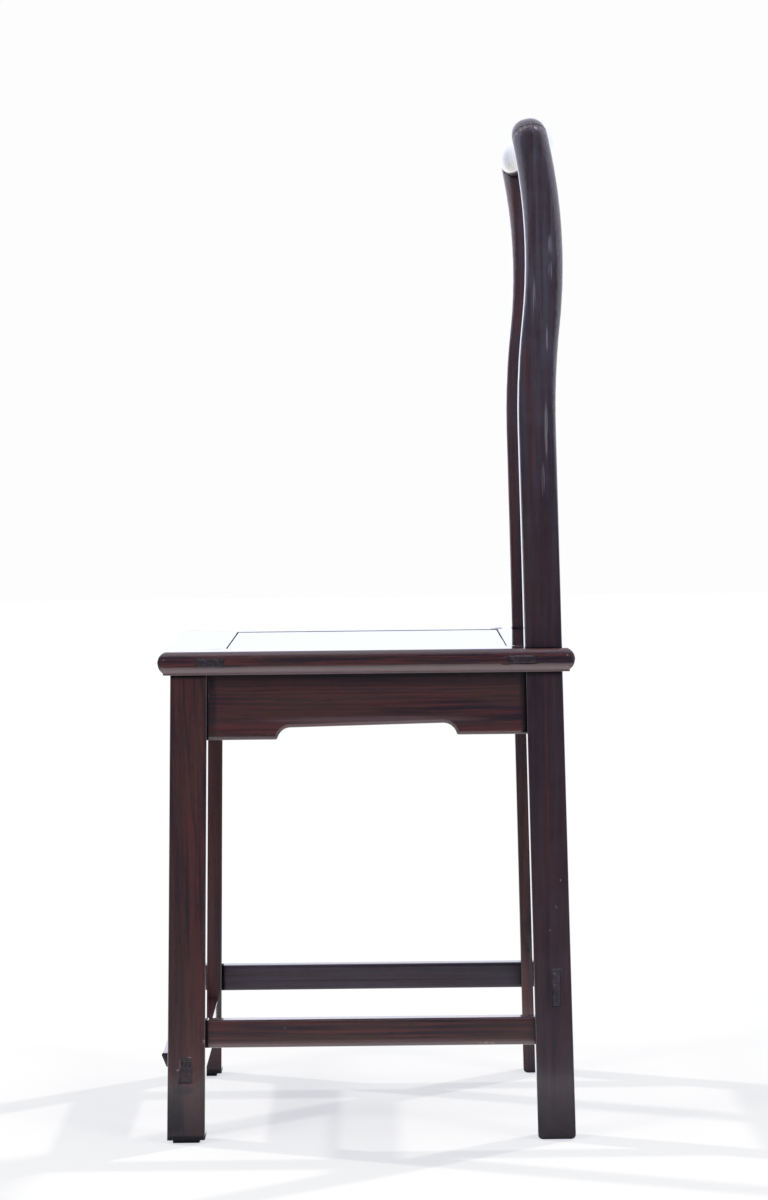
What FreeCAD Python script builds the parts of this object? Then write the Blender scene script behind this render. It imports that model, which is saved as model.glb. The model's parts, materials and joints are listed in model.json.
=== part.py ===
import FreeCAD, Part
import math
import os
import Sketcher

# East Asian hardwood side chair, in millimetres.
# The chair stands on Z = 0 and faces -Y. X = 0 is its plane of symmetry.
# The left side, at +X, is the sitter's left. Every left piece is built there and mirrored for the right.

# Driving sizes. Angles are in degrees, everything else is in millimetres.
SIZES = {
    # seat frame, with its rounded edge
    "seat_width": 498.0,
    "seat_depth": 418.0,
    "seat_height": 495.0,
    "rail_width": 66.0,
    "rail_thickness": 23.5,
    "rail_top_inset": 7.0,
    "rail_bulge_drop": 10.5,
    "rail_lip_inset": 5.0,
    "rail_lip_height": 2.2,
    # legs, and the way in which they spread towards the floor
    "leg_inset": 12.0,
    "leg_side": 37.0,
    "foot_side": 38.0,
    "leg_corner": 1.6,
    "splay_angle": 1.0,
    "leg_tenon_side": 18.0,
    "leg_tenon_length": 16.0,
    "neck_side": 31.0,
    "pad_thickness": 3.5,
    "pad_side": 27.0,
    "pad_corner": 3.0,
    # back posts above the seat; a drop is a distance below the crest rail's ends
    "post_side": 37.5,
    "post_corner": 2.5,
    "waist_corner": 6.0,
    "shoulder_corner": 14.0,
    "crest_rise": 514.5,
    "post_waist_drop": 295.0,
    "post_turn_drop": 189.5,
    "post_head_drop": 17.5,
    "post_back_lean": 6.6,
    "post_head_lean": 10.8,
    # crest rail
    "crest_side": 36.0,
    "crest_corner": 16.5,
    "crest_bend": 9.0,
    "crest_straight": 10.0,
    "crest_bow": 17.5,
    "crest_end_share": 0.25,
    "crest_peg_side": 12.0,
    "crest_peg_length": 30.0,
    "crest_peg_rise": 9.0,
    # back splat
    "splat_width": 165.0,
    "splat_thickness": 10.0,
    "splat_inset": 25.0,
    "splat_foot_lean": 2.9,
    "splat_back_lean": 6.0,
    "splat_head_lean": 4.6,
    "splat_foot_rise": 25.0,
    "splat_waist_drop": 269.5,
    "splat_turn_drop": 214.5,
    "splat_head_drop": 119.5,
    "splat_tenon_depth": 12.0,
    "splat_shoulder": 2.0,
    "splat_corner": 1.0,
    # floating seat panel and its batten
    "panel_thickness": 11.0,
    "panel_drop": 0.4,
    "panel_gap": 1.2,
    "tongue_length": 6.0,
    "tongue_thickness": 5.0,
    "batten_width": 34.0,
    "batten_height": 20.0,
    "batten_tenon": 14.0,
    "batten_tenon_height": 8.0,
    "batten_tenon_drop": 2.0,
    "batten_key_height": 4.0,
    "batten_key_width": 22.0,
    "batten_key_neck": 18.0,
    # through tenons of the front and rear seat rails
    "seat_tenon_width": 27.0,
    "seat_tenon_height": 7.2,
    "seat_tenon_drop": 7.4,
    # aprons under the seat
    "apron_depth": 64.8,
    "apron_step": 12.0,
    "apron_step_run": 16.0,
    "apron_corner": 2.5,
    "apron_end": 75.5,
    "side_apron_fall": 3.0,
    "apron_thickness": 14.0,
    "apron_setback": 2.5,
    "apron_round": 5.0,
    "apron_tongue": 6.0,
    "apron_tongue_depth": 7.0,
    "apron_tongue_height": 40.0,
    # stretchers, each pair at its own height
    "stretcher_thickness": 24.0,
    "stretcher_round": 4.0,
    "side_stretcher_base": 95.0,
    "side_stretcher_height": 28.0,
    "side_tenon_height": 18.0,
    "side_tenon_length": 20.0,
    "rear_stretcher_base": 133.0,
    "rear_stretcher_height": 41.0,
    "rear_tenon_height": 37.4,
    "rear_stretcher_setback": 3.0,
    "stretcher_tenon": 8.4,
    # footrest
    "footrest_base": 60.0,
    "footrest_height": 27.5,
    "footrest_back": 34.0,
    "footrest_nose": 7.4,
    "footrest_nose_foot": 2.6,
    "footrest_nose_height": 13.5,
    "footrest_nose_round": 1.5,
    "footrest_setback": 2.5,
    "footrest_tenon": 11.0,
    "footrest_tenon_height": 24.0,
    "footrest_tenon_inset": 12.3,
    # clearance in the joints, and the length by which cutting shapes overrun
    "joint_gap": 0.1,
    "overrun": 8.0,
}

# Two places nearer than this count as one.
SAME_PLACE = 0.0001

doc = FreeCAD.newDocument("side_chair")
sheet = doc.addObject("Spreadsheet::Sheet", "Sizes")


def fill_sheet():
    """Writes each driving size into the sheet as a plain number with its name as alias."""
    for row, (name, number) in enumerate(SIZES.items(), start=1):
        sheet.set("A%d" % row, str(number))
        sheet.setAlias("A%d" % row, name)
        sheet.set("B%d" % row, name)
    doc.recompute()


# "S." stands for the sheet in every expression below.
def size(expression):
    """Spells an expression out, with the sheet's name in place of its short form."""
    return expression.replace("S.", "Sizes.")


def value(expression):
    """Number that an expression of the sheet's sizes gives."""
    result = sheet.evalExpression(size(expression))
    return float(getattr(result, "Value", result))


def bind(item, bindings):
    """Binds an object's properties to expressions of the sheet."""
    for path, expression in bindings.items():
        item.setExpression(path, size(expression))


def negative(expression):
    """The expression with its sign turned."""
    return "(-(%s))" % expression


# Places that several pieces share: the underside of the seat frame, and a leg's axis just under it.
RAIL_BASE = "(S.seat_height - S.rail_thickness)"
LEG_X = "(S.seat_width / 2 - S.leg_inset - S.leg_side / 2)"
LEG_Y = "(S.seat_depth / 2 - S.leg_inset - S.leg_side / 2)"


def spread(level):
    """How far the legs have moved outwards at a level, against the underside of the seat."""
    return "(tan(S.splay_angle) * (%s - (%s)))" % (RAIL_BASE, level)


def leg_x(level):
    """X of a leg's axis at a level."""
    return "(%s + %s)" % (LEG_X, spread(level))


def leg_y(level):
    """Distance of a leg's axis from the middle of the chair, along Y, at a level."""
    return "(%s + %s)" % (LEG_Y, spread(level))


def new_body(name):
    """Empty body with a label of its own."""
    body = doc.addObject("PartDesign::Body", name)
    body.Label = name
    return body


def new_sketch(body, name, role, offset="0", shift=("0", "0"), tilt=None):
    """Sketch on one of the body's own planes, moved and tilted about its first axis."""
    sketch = body.newObject("Sketcher::SketchObject", name)
    plane = [item for item in body.Origin.OriginFeatures if item.Role == role][0]
    sketch.AttachmentSupport = [(plane, "")]
    sketch.MapMode = "FlatFace"
    bindings = {
        "AttachmentOffset.Base.x": shift[0],
        "AttachmentOffset.Base.y": shift[1],
        "AttachmentOffset.Base.z": offset,
    }
    if tilt is not None:
        turn = FreeCAD.Rotation(FreeCAD.Vector(1, 0, 0), value(tilt))
        sketch.AttachmentOffset = FreeCAD.Placement(FreeCAD.Vector(), turn)
        bindings["AttachmentOffset.Rotation.Angle"] = tilt
    bind(sketch, bindings)
    return sketch


def arc_between(start, end, radius, side):
    """Minor arc from start to end whose centre lies on the left (side 1) or on the right (side -1)."""
    chord = end - start
    left = FreeCAD.Vector(-chord.y, chord.x, 0).normalize()
    rise = math.sqrt(max(radius ** 2 - (chord.Length / 2) ** 2, 0))
    centre = (start + end) / 2 + left * (rise * side)
    first, last = (start, end) if side > 0 else (end, start)
    begin = math.atan2(first.y - centre.y, first.x - centre.x)
    finish = math.atan2(last.y - centre.y, last.x - centre.x)
    circle = Part.Circle(centre, FreeCAD.Vector(0, 0, 1), radius)
    return Part.ArcOfCircle(circle, begin, finish)


def fix_point(sketch, geometry, position, corner):
    """Places a point of the sketch by two distances from its origin, bound to the sheet."""
    for kind, axis, expression in (("DistanceX", -2, corner[0]), ("DistanceY", -1, corner[1])):
        if expression == "0":
            sketch.addConstraint(Sketcher.Constraint("PointOnObject", geometry, position, axis))
            continue
        number = value(expression)
        index = sketch.addConstraint(Sketcher.Constraint(kind, -1, 1, geometry, position, number))
        sketch.setExpression("Constraints[%d]" % index, size(expression))


def draw(sketch, corners, arcs=None, closed=True):
    """Draws lines, and arcs where arcs names them as {segment: (radius, side)}, through the corners."""
    arcs = arcs or {}
    points = [FreeCAD.Vector(value(x), value(y), 0) for x, y in corners]
    count = len(points) if closed else len(points) - 1
    ends = []
    for index in range(count):
        start, end = points[index], points[(index + 1) % len(points)]
        if index in arcs:
            radius, side = arcs[index]
            geometry = sketch.addGeometry(arc_between(start, end, value(radius), side), False)
            number = sketch.addConstraint(Sketcher.Constraint("Radius", geometry, value(radius)))
            sketch.setExpression("Constraints[%d]" % number, size(radius))
            ends.append((geometry, 1, 2) if side > 0 else (geometry, 2, 1))
        else:
            geometry = sketch.addGeometry(Part.LineSegment(start, end), False)
            ends.append((geometry, 1, 2))
    for index, (geometry, first, last) in enumerate(ends):
        fix_point(sketch, geometry, first, corners[index])
        if index + 1 < len(ends) or closed:
            follower = ends[(index + 1) % len(ends)]
            sketch.addConstraint(Sketcher.Constraint("Coincident", geometry, last, follower[0], follower[1]))
        else:
            fix_point(sketch, geometry, last, corners[index + 1])
    return sketch


def rounded_square(sketch, side, front_corner, back_corner, middle=("0", "0"), depth=None):
    """Square outline about the middle, with its own corner radius at the front (-Y) and at the back."""
    x, y = middle
    half_x = "(%s) / 2" % side
    half_y = "(%s) / 2" % (depth or side)
    low, high = "(%s)" % front_corner, "(%s)" % back_corner
    right = "%s + %s" % (x, half_x)
    left = "%s - %s" % (x, half_x)
    front = "%s - %s" % (y, half_y)
    back = "%s + %s" % (y, half_y)
    corners = [
        (left + " + " + low, front), (right + " - " + low, front),
        (right, front + " + " + low), (right, back + " - " + high),
        (right + " - " + high, back), (left + " + " + high, back),
        (left, back + " - " + high), (left, front + " + " + low),
    ]
    return draw(sketch, corners, {1: (low, 1), 3: (high, 1), 5: (high, 1), 7: (low, 1)})


def pad(body, sketch, length, symmetric=False):
    """Pads a sketch along its normal, or to both sides of it."""
    feature = body.newObject("PartDesign::Pad", "pad")
    feature.Profile = sketch
    feature.SideType = "Symmetric" if symmetric else "One side"
    feature.setExpression("Length", size(length))
    return feature


def loft(body, sketches):
    """Straight-sided loft through sketches."""
    feature = body.newObject("PartDesign::AdditiveLoft", "loft")
    feature.Profile = sketches[0]
    feature.Sections = sketches[1:]
    feature.Ruled = True
    return feature


def pipe(body, sections, path):
    """Sweeps the first section along the path, changing into the others on the way."""
    feature = body.newObject("PartDesign::AdditivePipe", "pipe")
    feature.Profile = sections[0]
    feature.Spine = (path, [])
    if len(sections) > 1:
        feature.Sections = sections[1:]
        feature.Transformation = "Multisection"
    return feature


def cuboid(name, low, high):
    """Box between two corners, each given as three expressions."""
    box = doc.addObject("Part::Box", name)
    for side, start, end in zip(("Length", "Width", "Height"), low, high):
        box.setExpression(side, size("(%s) - (%s)" % (end, start)))
    for axis, start in zip("xyz", low):
        box.setExpression("Placement.Base." + axis, size(start))
    return box


def boolean(kind, name, base, tool):
    """Cut, Fuse or Common of two objects."""
    item = doc.addObject("Part::" + kind, name)
    item.Label = name
    item.Base = base
    item.Tool = tool
    return item


def cut(name, base, *tools):
    """Base with every tool cut away from it."""
    return boolean("Cut", name, base, group(name + "_cutters", tools))


def fuse(name, *shapes):
    """One solid of several that meet."""
    item = doc.addObject("Part::MultiFuse", name)
    item.Label = name
    item.Shapes = list(shapes)
    item.Refine = True
    return item


def framed(name, bar, tenons, legs):
    """Bar cut to its shoulders against the legs, with its tenons left inside them."""
    body = boolean("Cut", name + "_body", bar, legs)
    return fuse(name, body, boolean("Common", name + "_tenons", tenons, legs))


def group(name, shapes):
    """Several solids used together as one tool."""
    if len(shapes) == 1:
        return shapes[0]
    item = doc.addObject("Part::Compound", name)
    item.Links = list(shapes)
    return item


def mirrored(name, source):
    """Twin of a piece on the other side of the chair."""
    item = doc.addObject("Part::Mirroring", name)
    item.Label = name
    item.Source = source
    item.Normal = FreeCAD.Vector(1, 0, 0)
    return item


def both_sides(name, shape):
    """A left shape and its mirror image."""
    return [shape, mirrored("right_" + name, shape)]


def flipped(name, source):
    """Mirror image of a shape from the back of the chair to the front, or the other way."""
    item = mirrored(name, source)
    item.Normal = FreeCAD.Vector(0, 1, 0)
    return item


def tilt_like_leg(body):
    """Puts a body in the frame of a left leg: its origin on the seat's top, leaning in as it rises."""
    turn = FreeCAD.Rotation(FreeCAD.Vector(0, -1, 0), value("S.splay_angle"))
    body.Placement = FreeCAD.Placement(FreeCAD.Vector(), turn)
    bind(body, {
        "Placement.Base.x": leg_x("S.seat_height"),
        "Placement.Base.z": "S.seat_height",
        "Placement.Rotation.Angle": "S.splay_angle",
    })


def on_crest(body):
    """Puts a body in the frame of the crest rail: its origin level with the post heads, leaning forwards."""
    turn = FreeCAD.Rotation(FreeCAD.Vector(1, 0, 0), value("S.post_head_lean"))
    body.Placement = FreeCAD.Placement(FreeCAD.Vector(), turn)
    bind(body, {
        "Placement.Base.y": CREST_Y,
        "Placement.Base.z": CREST_Z,
        "Placement.Rotation.Angle": "S.post_head_lean",
    })


def bend_radius(low, high, lean_low, lean_high):
    """Radius of the bend that takes a member from one lean to another between two heights."""
    return "(((%s) - (%s)) / abs(sin(%s) - sin(%s)))" % (high, low, lean_high, lean_low)


def bend_shift(low, high, lean_low, lean_high):
    """How far back such a bend carries the member."""
    return "(((%s) - (%s)) * (cos(%s) - cos(%s)) / (sin(%s) - sin(%s)))" % (
        high, low, lean_low, lean_high, lean_high, lean_low)


# Path of the back posts, in the frame of a left leg. A lean is positive where the post rises backwards.
FOOT_LEAN = "(-S.splay_angle)"
HEAD_LEAN = "(-S.post_head_lean)"


def straight_post_y(rise):
    """Y of the straight part of a back post, at a rise above the seat's top."""
    return "(%s - tan(S.splay_angle) * (S.rail_thickness + (%s)))" % (LEG_Y, rise)


WAIST_RISE = "(S.crest_rise - S.post_waist_drop)"
TURN_RISE = "(S.crest_rise - S.post_turn_drop)"
HEAD_RISE = "(S.crest_rise - S.post_head_drop)"
WAIST_Y = straight_post_y(WAIST_RISE)
LOWER_BEND = (WAIST_RISE, TURN_RISE, FOOT_LEAN, "S.post_back_lean")
UPPER_BEND = (TURN_RISE, HEAD_RISE, "S.post_back_lean", HEAD_LEAN)
TURN_Y = "(%s + %s)" % (WAIST_Y, bend_shift(*LOWER_BEND))
HEAD_Y = "(%s + %s)" % (TURN_Y, bend_shift(*UPPER_BEND))
CREST_Y = "(%s - tan(S.post_head_lean) * S.post_head_drop)" % HEAD_Y
CREST_Z = "(S.seat_height + S.crest_rise * cos(S.splay_angle))"
CREST_X = "(%s - S.crest_rise * sin(S.splay_angle))" % leg_x("S.seat_height")
HALF_TURN = "(45 - S.splay_angle * cos(S.post_head_lean) / 2)"
BEND_LENGTH = "(S.crest_bend * tan(%s))" % HALF_TURN
BEND_X = "(%s - %s)" % (CREST_X, BEND_LENGTH)


def leg_blank(name, facing):
    """Leg below the seat, longer than it needs to be at both ends. It faces -1 for front, 1 for rear."""
    body = new_body(name)
    tilt_like_leg(body)
    sections = []
    for label, level, side in (("foot", "0", "S.foot_side"), ("knee", RAIL_BASE, "S.leg_side")):
        reach = "S.overrun" if label == "knee" else "(-S.overrun)"
        height = "((%s) + %s)" % (level, reach)
        middle = "(%d * %s)" % (facing, leg_y(height))
        sketch = new_sketch(body, label, "XY_Plane", "%s - S.seat_height" % height)
        rounded_square(sketch, side, "S.leg_corner", "S.leg_corner", ("0", middle))
        sections.append(sketch)
    loft(body, sections)
    return body


def upper_post_blank():
    """Back post above the seat: squarish at the seat, flat in front, and round where it meets the crest."""
    body = new_body("upper_post_blank")
    tilt_like_leg(body)
    low = "(-S.overrun)"
    end_y = "(%s + sin(S.post_head_lean) * %s)" % (CREST_Y, BEND_LENGTH)
    end_z = "(S.crest_rise - cos(S.post_head_lean) * %s)" % BEND_LENGTH
    path = new_sketch(body, "post_path", "YZ_Plane")
    draw(path, [
        (straight_post_y(low), low), (WAIST_Y, WAIST_RISE), (TURN_Y, TURN_RISE), (HEAD_Y, HEAD_RISE),
        (end_y, end_z),
    ], {
        1: (bend_radius(*LOWER_BEND), -1),
        2: (bend_radius(*UPPER_BEND), 1),
    }, closed=False)
    upper_radius = bend_radius(*UPPER_BEND)
    peak_y = "(%s + %s * (1 - cos(S.post_back_lean)))" % (TURN_Y, upper_radius)
    peak_z = "(%s + %s * sin(S.post_back_lean))" % (TURN_RISE, upper_radius)
    sections = []
    for label, y, z, tilt, side, front, back in (
        ("seat", straight_post_y(low), low, "S.splay_angle", "S.post_side", "S.post_corner", "S.post_corner"),
        ("waist", WAIST_Y, WAIST_RISE, "S.splay_angle", "S.post_side", "S.post_corner", "S.waist_corner"),
        ("peak", peak_y, peak_z, None, "S.post_side", "S.waist_corner", "S.shoulder_corner"),
        ("head", end_y, end_z, "S.post_head_lean", "S.crest_side", "S.crest_corner", "S.crest_corner"),
    ):
        sketch = new_sketch(body, label + "_section", "XY_Plane", z, ("0", y), tilt)
        rounded_square(sketch, side, front, back)
        sections.append(sketch)
    pipe(body, sections, path)
    axis_at = (negative("S.crest_bend"), end_y)
    bend = new_sketch(body, "post_bend", "XY_Plane", end_z, axis_at, "S.post_head_lean")
    elbow(body, bend, [(y, negative(x)) for x, y in elbow_section()], "V_Axis", backwards=True)
    return body


def elbow_section():
    """Corners of the crest's section outside a bend. The bend's axis is the first of them to the second."""
    flat, half = "(S.crest_side / 2 - S.crest_corner)", "(S.crest_side / 2)"
    foot = "(%s + sqrt(S.crest_corner ^ 2 - (S.crest_bend - %s) ^ 2))" % (flat, flat)
    low, high, top = "(S.crest_bend - %s)" % flat, "(S.crest_bend + %s)" % flat, "(S.crest_bend + %s)" % half
    return [
        (negative(foot), "0"), (foot, "0"), (half, low), (half, high), (flat, top),
        (negative(flat), top), (negative(half), high), (negative(half), low),
    ]


def elbow(body, sketch, corners, axis, backwards=False):
    """Turns the crest's section round an axis of its sketch, from the post to the crest rail or back."""
    arc = ("S.crest_corner", 1)
    draw(sketch, corners, {1: arc, 3: arc, 5: arc, 7: arc})
    turn = body.newObject("PartDesign::Revolution", sketch.Name + "_turn")
    turn.Profile = sketch
    turn.ReferenceAxis = (sketch, [axis])
    turn.Reversed = backwards
    bind(turn, {"Angle": "2 * " + HALF_TURN})


def crest_elbow():
    """Rounded left end of the crest rail."""
    body = new_body("crest_elbow")
    on_crest(body)
    sketch = new_sketch(body, "crest_bend", "YZ_Plane", BEND_X, ("0", negative("S.crest_bend")))
    elbow(body, sketch, elbow_section(), "H_Axis")
    return body


def crest_bar():
    """Straight and bowed part of the crest rail between its two elbows."""
    body = new_body("crest_bar")
    on_crest(body)
    reach = "(%s - S.crest_straight)" % BEND_X
    half_sweep = "(2 * atan(S.crest_bow / %s))" % reach
    whole = "(%s / sin(%s))" % (reach, half_sweep)
    end_radius = "(S.crest_end_share * %s)" % whole
    main_radius = "((1 - S.crest_end_share) * %s)" % whole
    join_x = "(%s - %s * sin(%s))" % (reach, end_radius, half_sweep)
    join_y = "(%s * (1 - cos(%s)))" % (end_radius, half_sweep)
    path = new_sketch(body, "crest_path", "XY_Plane")
    draw(path, [
        (negative(BEND_X), "0"), (negative(reach), "0"), (negative(join_x), join_y),
        (join_x, join_y), (reach, "0"), (BEND_X, "0"),
    ], {1: (end_radius, 1), 2: (main_radius, -1), 3: (end_radius, 1)}, closed=False)
    section = new_sketch(body, "crest_section", "YZ_Plane", negative(BEND_X))
    rounded_square(section, "S.crest_side", "S.crest_corner", "S.crest_corner")
    pipe(body, [section], path)
    return body


def mitre_block(name, side):
    """Block on one side of the left mitre: side 1 holds the post, side -1 holds the crest rail."""
    body = new_body(name)
    on_crest(body)
    run_x, run_z = "(2 * S.crest_side * sin(%s))" % HALF_TURN, "(2 * S.crest_side * cos(%s))" % HALF_TURN
    corners = []
    for sign, step in ((1, 0), (1, 1), (-1, 1), (-1, 0)):
        corners.append((
            "%s + %d * %s + %d * %s" % (BEND_X, sign, run_x, step * side, run_z),
            "(-S.crest_bend) + %d * %s - %d * %s" % (sign, run_z, step * side, run_x)))
    sketch = new_sketch(body, "mitre_plan", "XZ_Plane")
    draw(sketch, corners)
    pad(body, sketch, "2 * S.crest_side", symmetric=True)
    return body


def crest_peg(name, gap="0"):
    """Square peg that the post carries up into the crest rail, with a clearance round it."""
    body = new_body(name)
    on_crest(body)
    side = "(S.crest_peg_side + 2 * (%s))" % gap
    sketch = new_sketch(body, "peg_section", "XY_Plane", "S.crest_peg_rise - S.crest_peg_length")
    half = "(%s / 2)" % side
    draw(sketch, [
        ("%s - %s" % (CREST_X, half), negative(half)), ("%s + %s" % (CREST_X, half), negative(half)),
        ("%s + %s" % (CREST_X, half), half), ("%s - %s" % (CREST_X, half), half),
    ])
    pad(body, sketch, "S.crest_peg_length + %s" % gap)
    return body


def below_floor(name, facing, top):
    """Everything under the foot of a left leg that faces -1 for front or 1 for rear."""
    low_y, high_y = ("(-S.seat_depth)", "0") if facing < 0 else ("0", "S.seat_depth")
    return cuboid(name, ("0", low_y, "(-4 * S.overrun)"), ("S.seat_width", high_y, top))


def frame_slab():
    """Space between the seat frame's underside and its top, over the whole seat."""
    reach_x, reach_y = "(S.seat_width / 2)", "(S.seat_depth / 2)"
    return cuboid(
        "frame_slab", (negative(reach_x), negative(reach_y), RAIL_BASE), (reach_x, reach_y, "S.seat_height"))


def upright_peg(name, facing, side, low, high, gap="0"):
    """Square peg on a left leg's axis through the seat frame."""
    half = "((%s) / 2 + %s)" % (side, gap)
    middle = "(%d * %s)" % (facing, LEG_Y)
    return cuboid(
        name, ("%s - %s" % (LEG_X, half), "%s - %s" % (middle, half), low),
        ("%s + %s" % (LEG_X, half), "%s + %s" % (middle, half), high))


def leg_tenon(name, gap="0"):
    """Tenon on top of the left front leg, into the corner of the seat frame."""
    top = "(%s + S.leg_tenon_length + %s)" % (RAIL_BASE, gap)
    return upright_peg(name, -1, "S.leg_tenon_side", "(%s - S.overrun)" % RAIL_BASE, top, gap)


def post_neck(name, gap="0"):
    """Part of the left back post that passes through the seat frame."""
    return upright_peg(
        name, 1, "S.neck_side", "(%s - S.overrun)" % RAIL_BASE, "(S.seat_height + S.overrun)", gap)


def front_leg(blank, slab, mortises):
    """Left front leg, standing on its pad, with the mortises of all that meets it."""
    below = below_floor("below_front_foot", -1, "S.pad_thickness")
    trimmed = cut("trimmed_front_leg", blank, slab, below)
    whole = fuse("front_leg_with_tenon", trimmed, leg_tenon("front_leg_tenon"))
    return cut("front_leg_left", whole, *mortises)


def back_post(blank, slab, mortises):
    """Left rear leg and back post in one piece, up to the mitre of the crest rail."""
    long_post = fuse("long_post", blank, upper_post_blank())
    below = below_floor("below_rear_foot", 1, "0")
    trimmed = cut("trimmed_post", long_post, slab, below, mitre_block("crest_side_block", -1))
    whole = fuse("post_with_neck", trimmed, post_neck("post_neck"), crest_peg("post_peg"))
    return cut("back_post_left", whole, *mortises)


def crest_rail(whole, splat_mortise):
    """Crest rail between the mitres, with mortises for the posts' pegs and for the splat."""
    return cut(
        "crest_rail", whole, *both_sides("post_side_block", mitre_block("post_side_block", 1)),
        *both_sides("crest_peg_hole", crest_peg("crest_peg_hole", "S.joint_gap")), splat_mortise)


# Rises above the seat along the splat's path, which starts inside the seat rail and ends in the crest rail.
SPLAT_START = "(-S.splat_tenon_depth)"
SPLAT_WAIST = "(S.crest_rise - S.splat_waist_drop)"
SPLAT_TURN = "(S.crest_rise - S.splat_turn_drop)"
SPLAT_HEAD = "(S.crest_rise - S.splat_head_drop)"
CREST_UNDERSIDE = "(%s + S.crest_bow * sin(S.post_head_lean) - S.crest_side / 2)" % CREST_Z
SPLAT_TOP = "(%s - S.seat_height + S.splat_tenon_depth)" % CREST_UNDERSIDE


def splat_board(name, spare):
    """S-curved board from inside the seat rail to inside the crest rail, with a spare width and thickness."""
    body = new_body(name)
    foot_lean, head_lean = "(-S.splat_foot_lean)", "(-S.splat_head_lean)"
    lower_bend = ("S.splat_foot_rise", SPLAT_WAIST, foot_lean, "S.splat_back_lean")
    upper_bend = (SPLAT_TURN, SPLAT_HEAD, "S.splat_back_lean", head_lean)
    seat_y = "(S.seat_depth / 2 - S.splat_inset)"
    start_y = "(%s - tan(S.splat_foot_lean) * %s)" % (seat_y, SPLAT_START)
    foot_y = "(%s - tan(S.splat_foot_lean) * S.splat_foot_rise)" % seat_y
    waist_y = "(%s + %s)" % (foot_y, bend_shift(*lower_bend))
    turn_y = "(%s + tan(S.splat_back_lean) * (S.splat_waist_drop - S.splat_turn_drop))" % waist_y
    head_y = "(%s + %s)" % (turn_y, bend_shift(*upper_bend))
    top_y = "(%s - tan(S.splat_head_lean) * (%s - %s))" % (head_y, SPLAT_TOP, SPLAT_HEAD)
    path = new_sketch(body, name + "_path", "YZ_Plane")
    raised = "S.seat_height + "
    draw(path, [
        (start_y, raised + SPLAT_START), (foot_y, raised + "S.splat_foot_rise"),
        (waist_y, raised + SPLAT_WAIST), (turn_y, raised + SPLAT_TURN),
        (head_y, raised + SPLAT_HEAD), (top_y, raised + SPLAT_TOP),
    ], {1: (bend_radius(*lower_bend), -1), 3: (bend_radius(*upper_bend), 1)}, closed=False)
    section = new_sketch(
        body, name + "_section", "XY_Plane", raised + SPLAT_START, ("0", start_y), "S.splat_foot_lean")
    rounded_square(
        section, "(S.splat_width + %s)" % spare, "S.splat_corner", "S.splat_corner", ("0", "0"),
        "(S.splat_thickness + %s)" % spare)
    pipe(body, [section], path)
    return body


def back_splat(whole_crest, slab):
    """Splat with a tenon at each end, narrower and thinner than the board by the shoulders."""
    board = cut("splat_body", splat_board("splat_board", "0"), whole_crest, slab)
    return fuse("back_splat", board, splat_board("splat_tenons", "(-2 * S.splat_shoulder)"))


def rail_section(sketch, edge):
    """Section of a seat rail whose rounded outer edge is at the given distance from the middle."""
    top, lip = "S.seat_height", "(%s + S.rail_lip_height)" % RAIL_BASE
    bulge = "(S.seat_height - S.rail_bulge_drop)"
    fall = "(%s - %s)" % (bulge, lip)
    upper = "((S.rail_top_inset ^ 2 + S.rail_bulge_drop ^ 2) / (2 * S.rail_top_inset))"
    lower = "((S.rail_lip_inset ^ 2 + %s ^ 2) / (2 * S.rail_lip_inset))" % fall
    draw(sketch, [
        ("%s - S.rail_width" % edge, RAIL_BASE), ("%s - S.rail_lip_inset" % edge, RAIL_BASE),
        ("%s - S.rail_lip_inset" % edge, lip), (edge, bulge), ("%s - S.rail_top_inset" % edge, top),
        ("%s - S.rail_width" % edge, top),
    ], {2: (lower, 1), 3: (upper, 1)})


def mitred_rail(name, role, edge, far_edge):
    """Rail along one side of the seat, with both ends cut at 45 degrees."""
    body = new_body(name + "_blank")
    section = new_sketch(body, name + "_section", role)
    rail_section(section, edge)
    pad(body, section, "2 * (%s + S.overrun)" % far_edge, symmetric=True)
    plan = new_body(name + "_plan")
    outline = new_sketch(plan, name + "_mitres", "XY_Plane", "%s - S.overrun" % RAIL_BASE)
    inner, outer = "(S.rail_width + S.overrun)", "(-S.overrun)"
    corners = []
    for sign, inset in ((-1, inner), (1, inner), (1, outer), (-1, outer)):
        along, across = "%d * (%s - %s)" % (sign, far_edge, inset), "%s - %s" % (edge, inset)
        corners.append((along, across) if role == "YZ_Plane" else (across, along))
    draw(outline, corners)
    pad(plan, outline, "S.rail_thickness + 2 * S.overrun")
    return boolean("Common", name + "_mitred", body, plan)


def seat_tenon(name, gap="0"):
    """Through tenon at the left end of the rear rail. It runs through the side rail to its outer edge."""
    inner_x, inner_y = "(S.seat_width / 2 - S.rail_width)", "(S.seat_depth / 2 - S.rail_width)"
    top = "(S.seat_height - S.seat_tenon_drop)"
    base, outer_y = "(%s - S.seat_tenon_height)" % top, "(%s + S.seat_tenon_width)" % inner_y
    return cuboid(
        name, ("%s - S.overrun" % inner_x, "%s - %s" % (inner_y, gap), "%s - %s" % (base, gap)),
        ("S.seat_width / 2 + S.overrun", "%s + %s" % (outer_y, gap), "%s + %s" % (top, gap)))


# Levels of the floating panel: its face lies a little under the frame's, and its tongue is at its underside.
PANEL_TOP = "(S.seat_height - S.panel_drop)"
PANEL_BASE = "(%s - S.panel_thickness)" % PANEL_TOP


def panel_box(name, spare, low, high):
    """Flat box over the seat's opening, larger than the panel's face by the spare length on each side."""
    reach_x = "(S.seat_width / 2 - S.rail_width - S.panel_gap + %s)" % spare
    reach_y = "(S.seat_depth / 2 - S.rail_width - S.panel_gap + %s)" % spare
    return cuboid(name, (negative(reach_x), negative(reach_y), low), (reach_x, reach_y, high))


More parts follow.
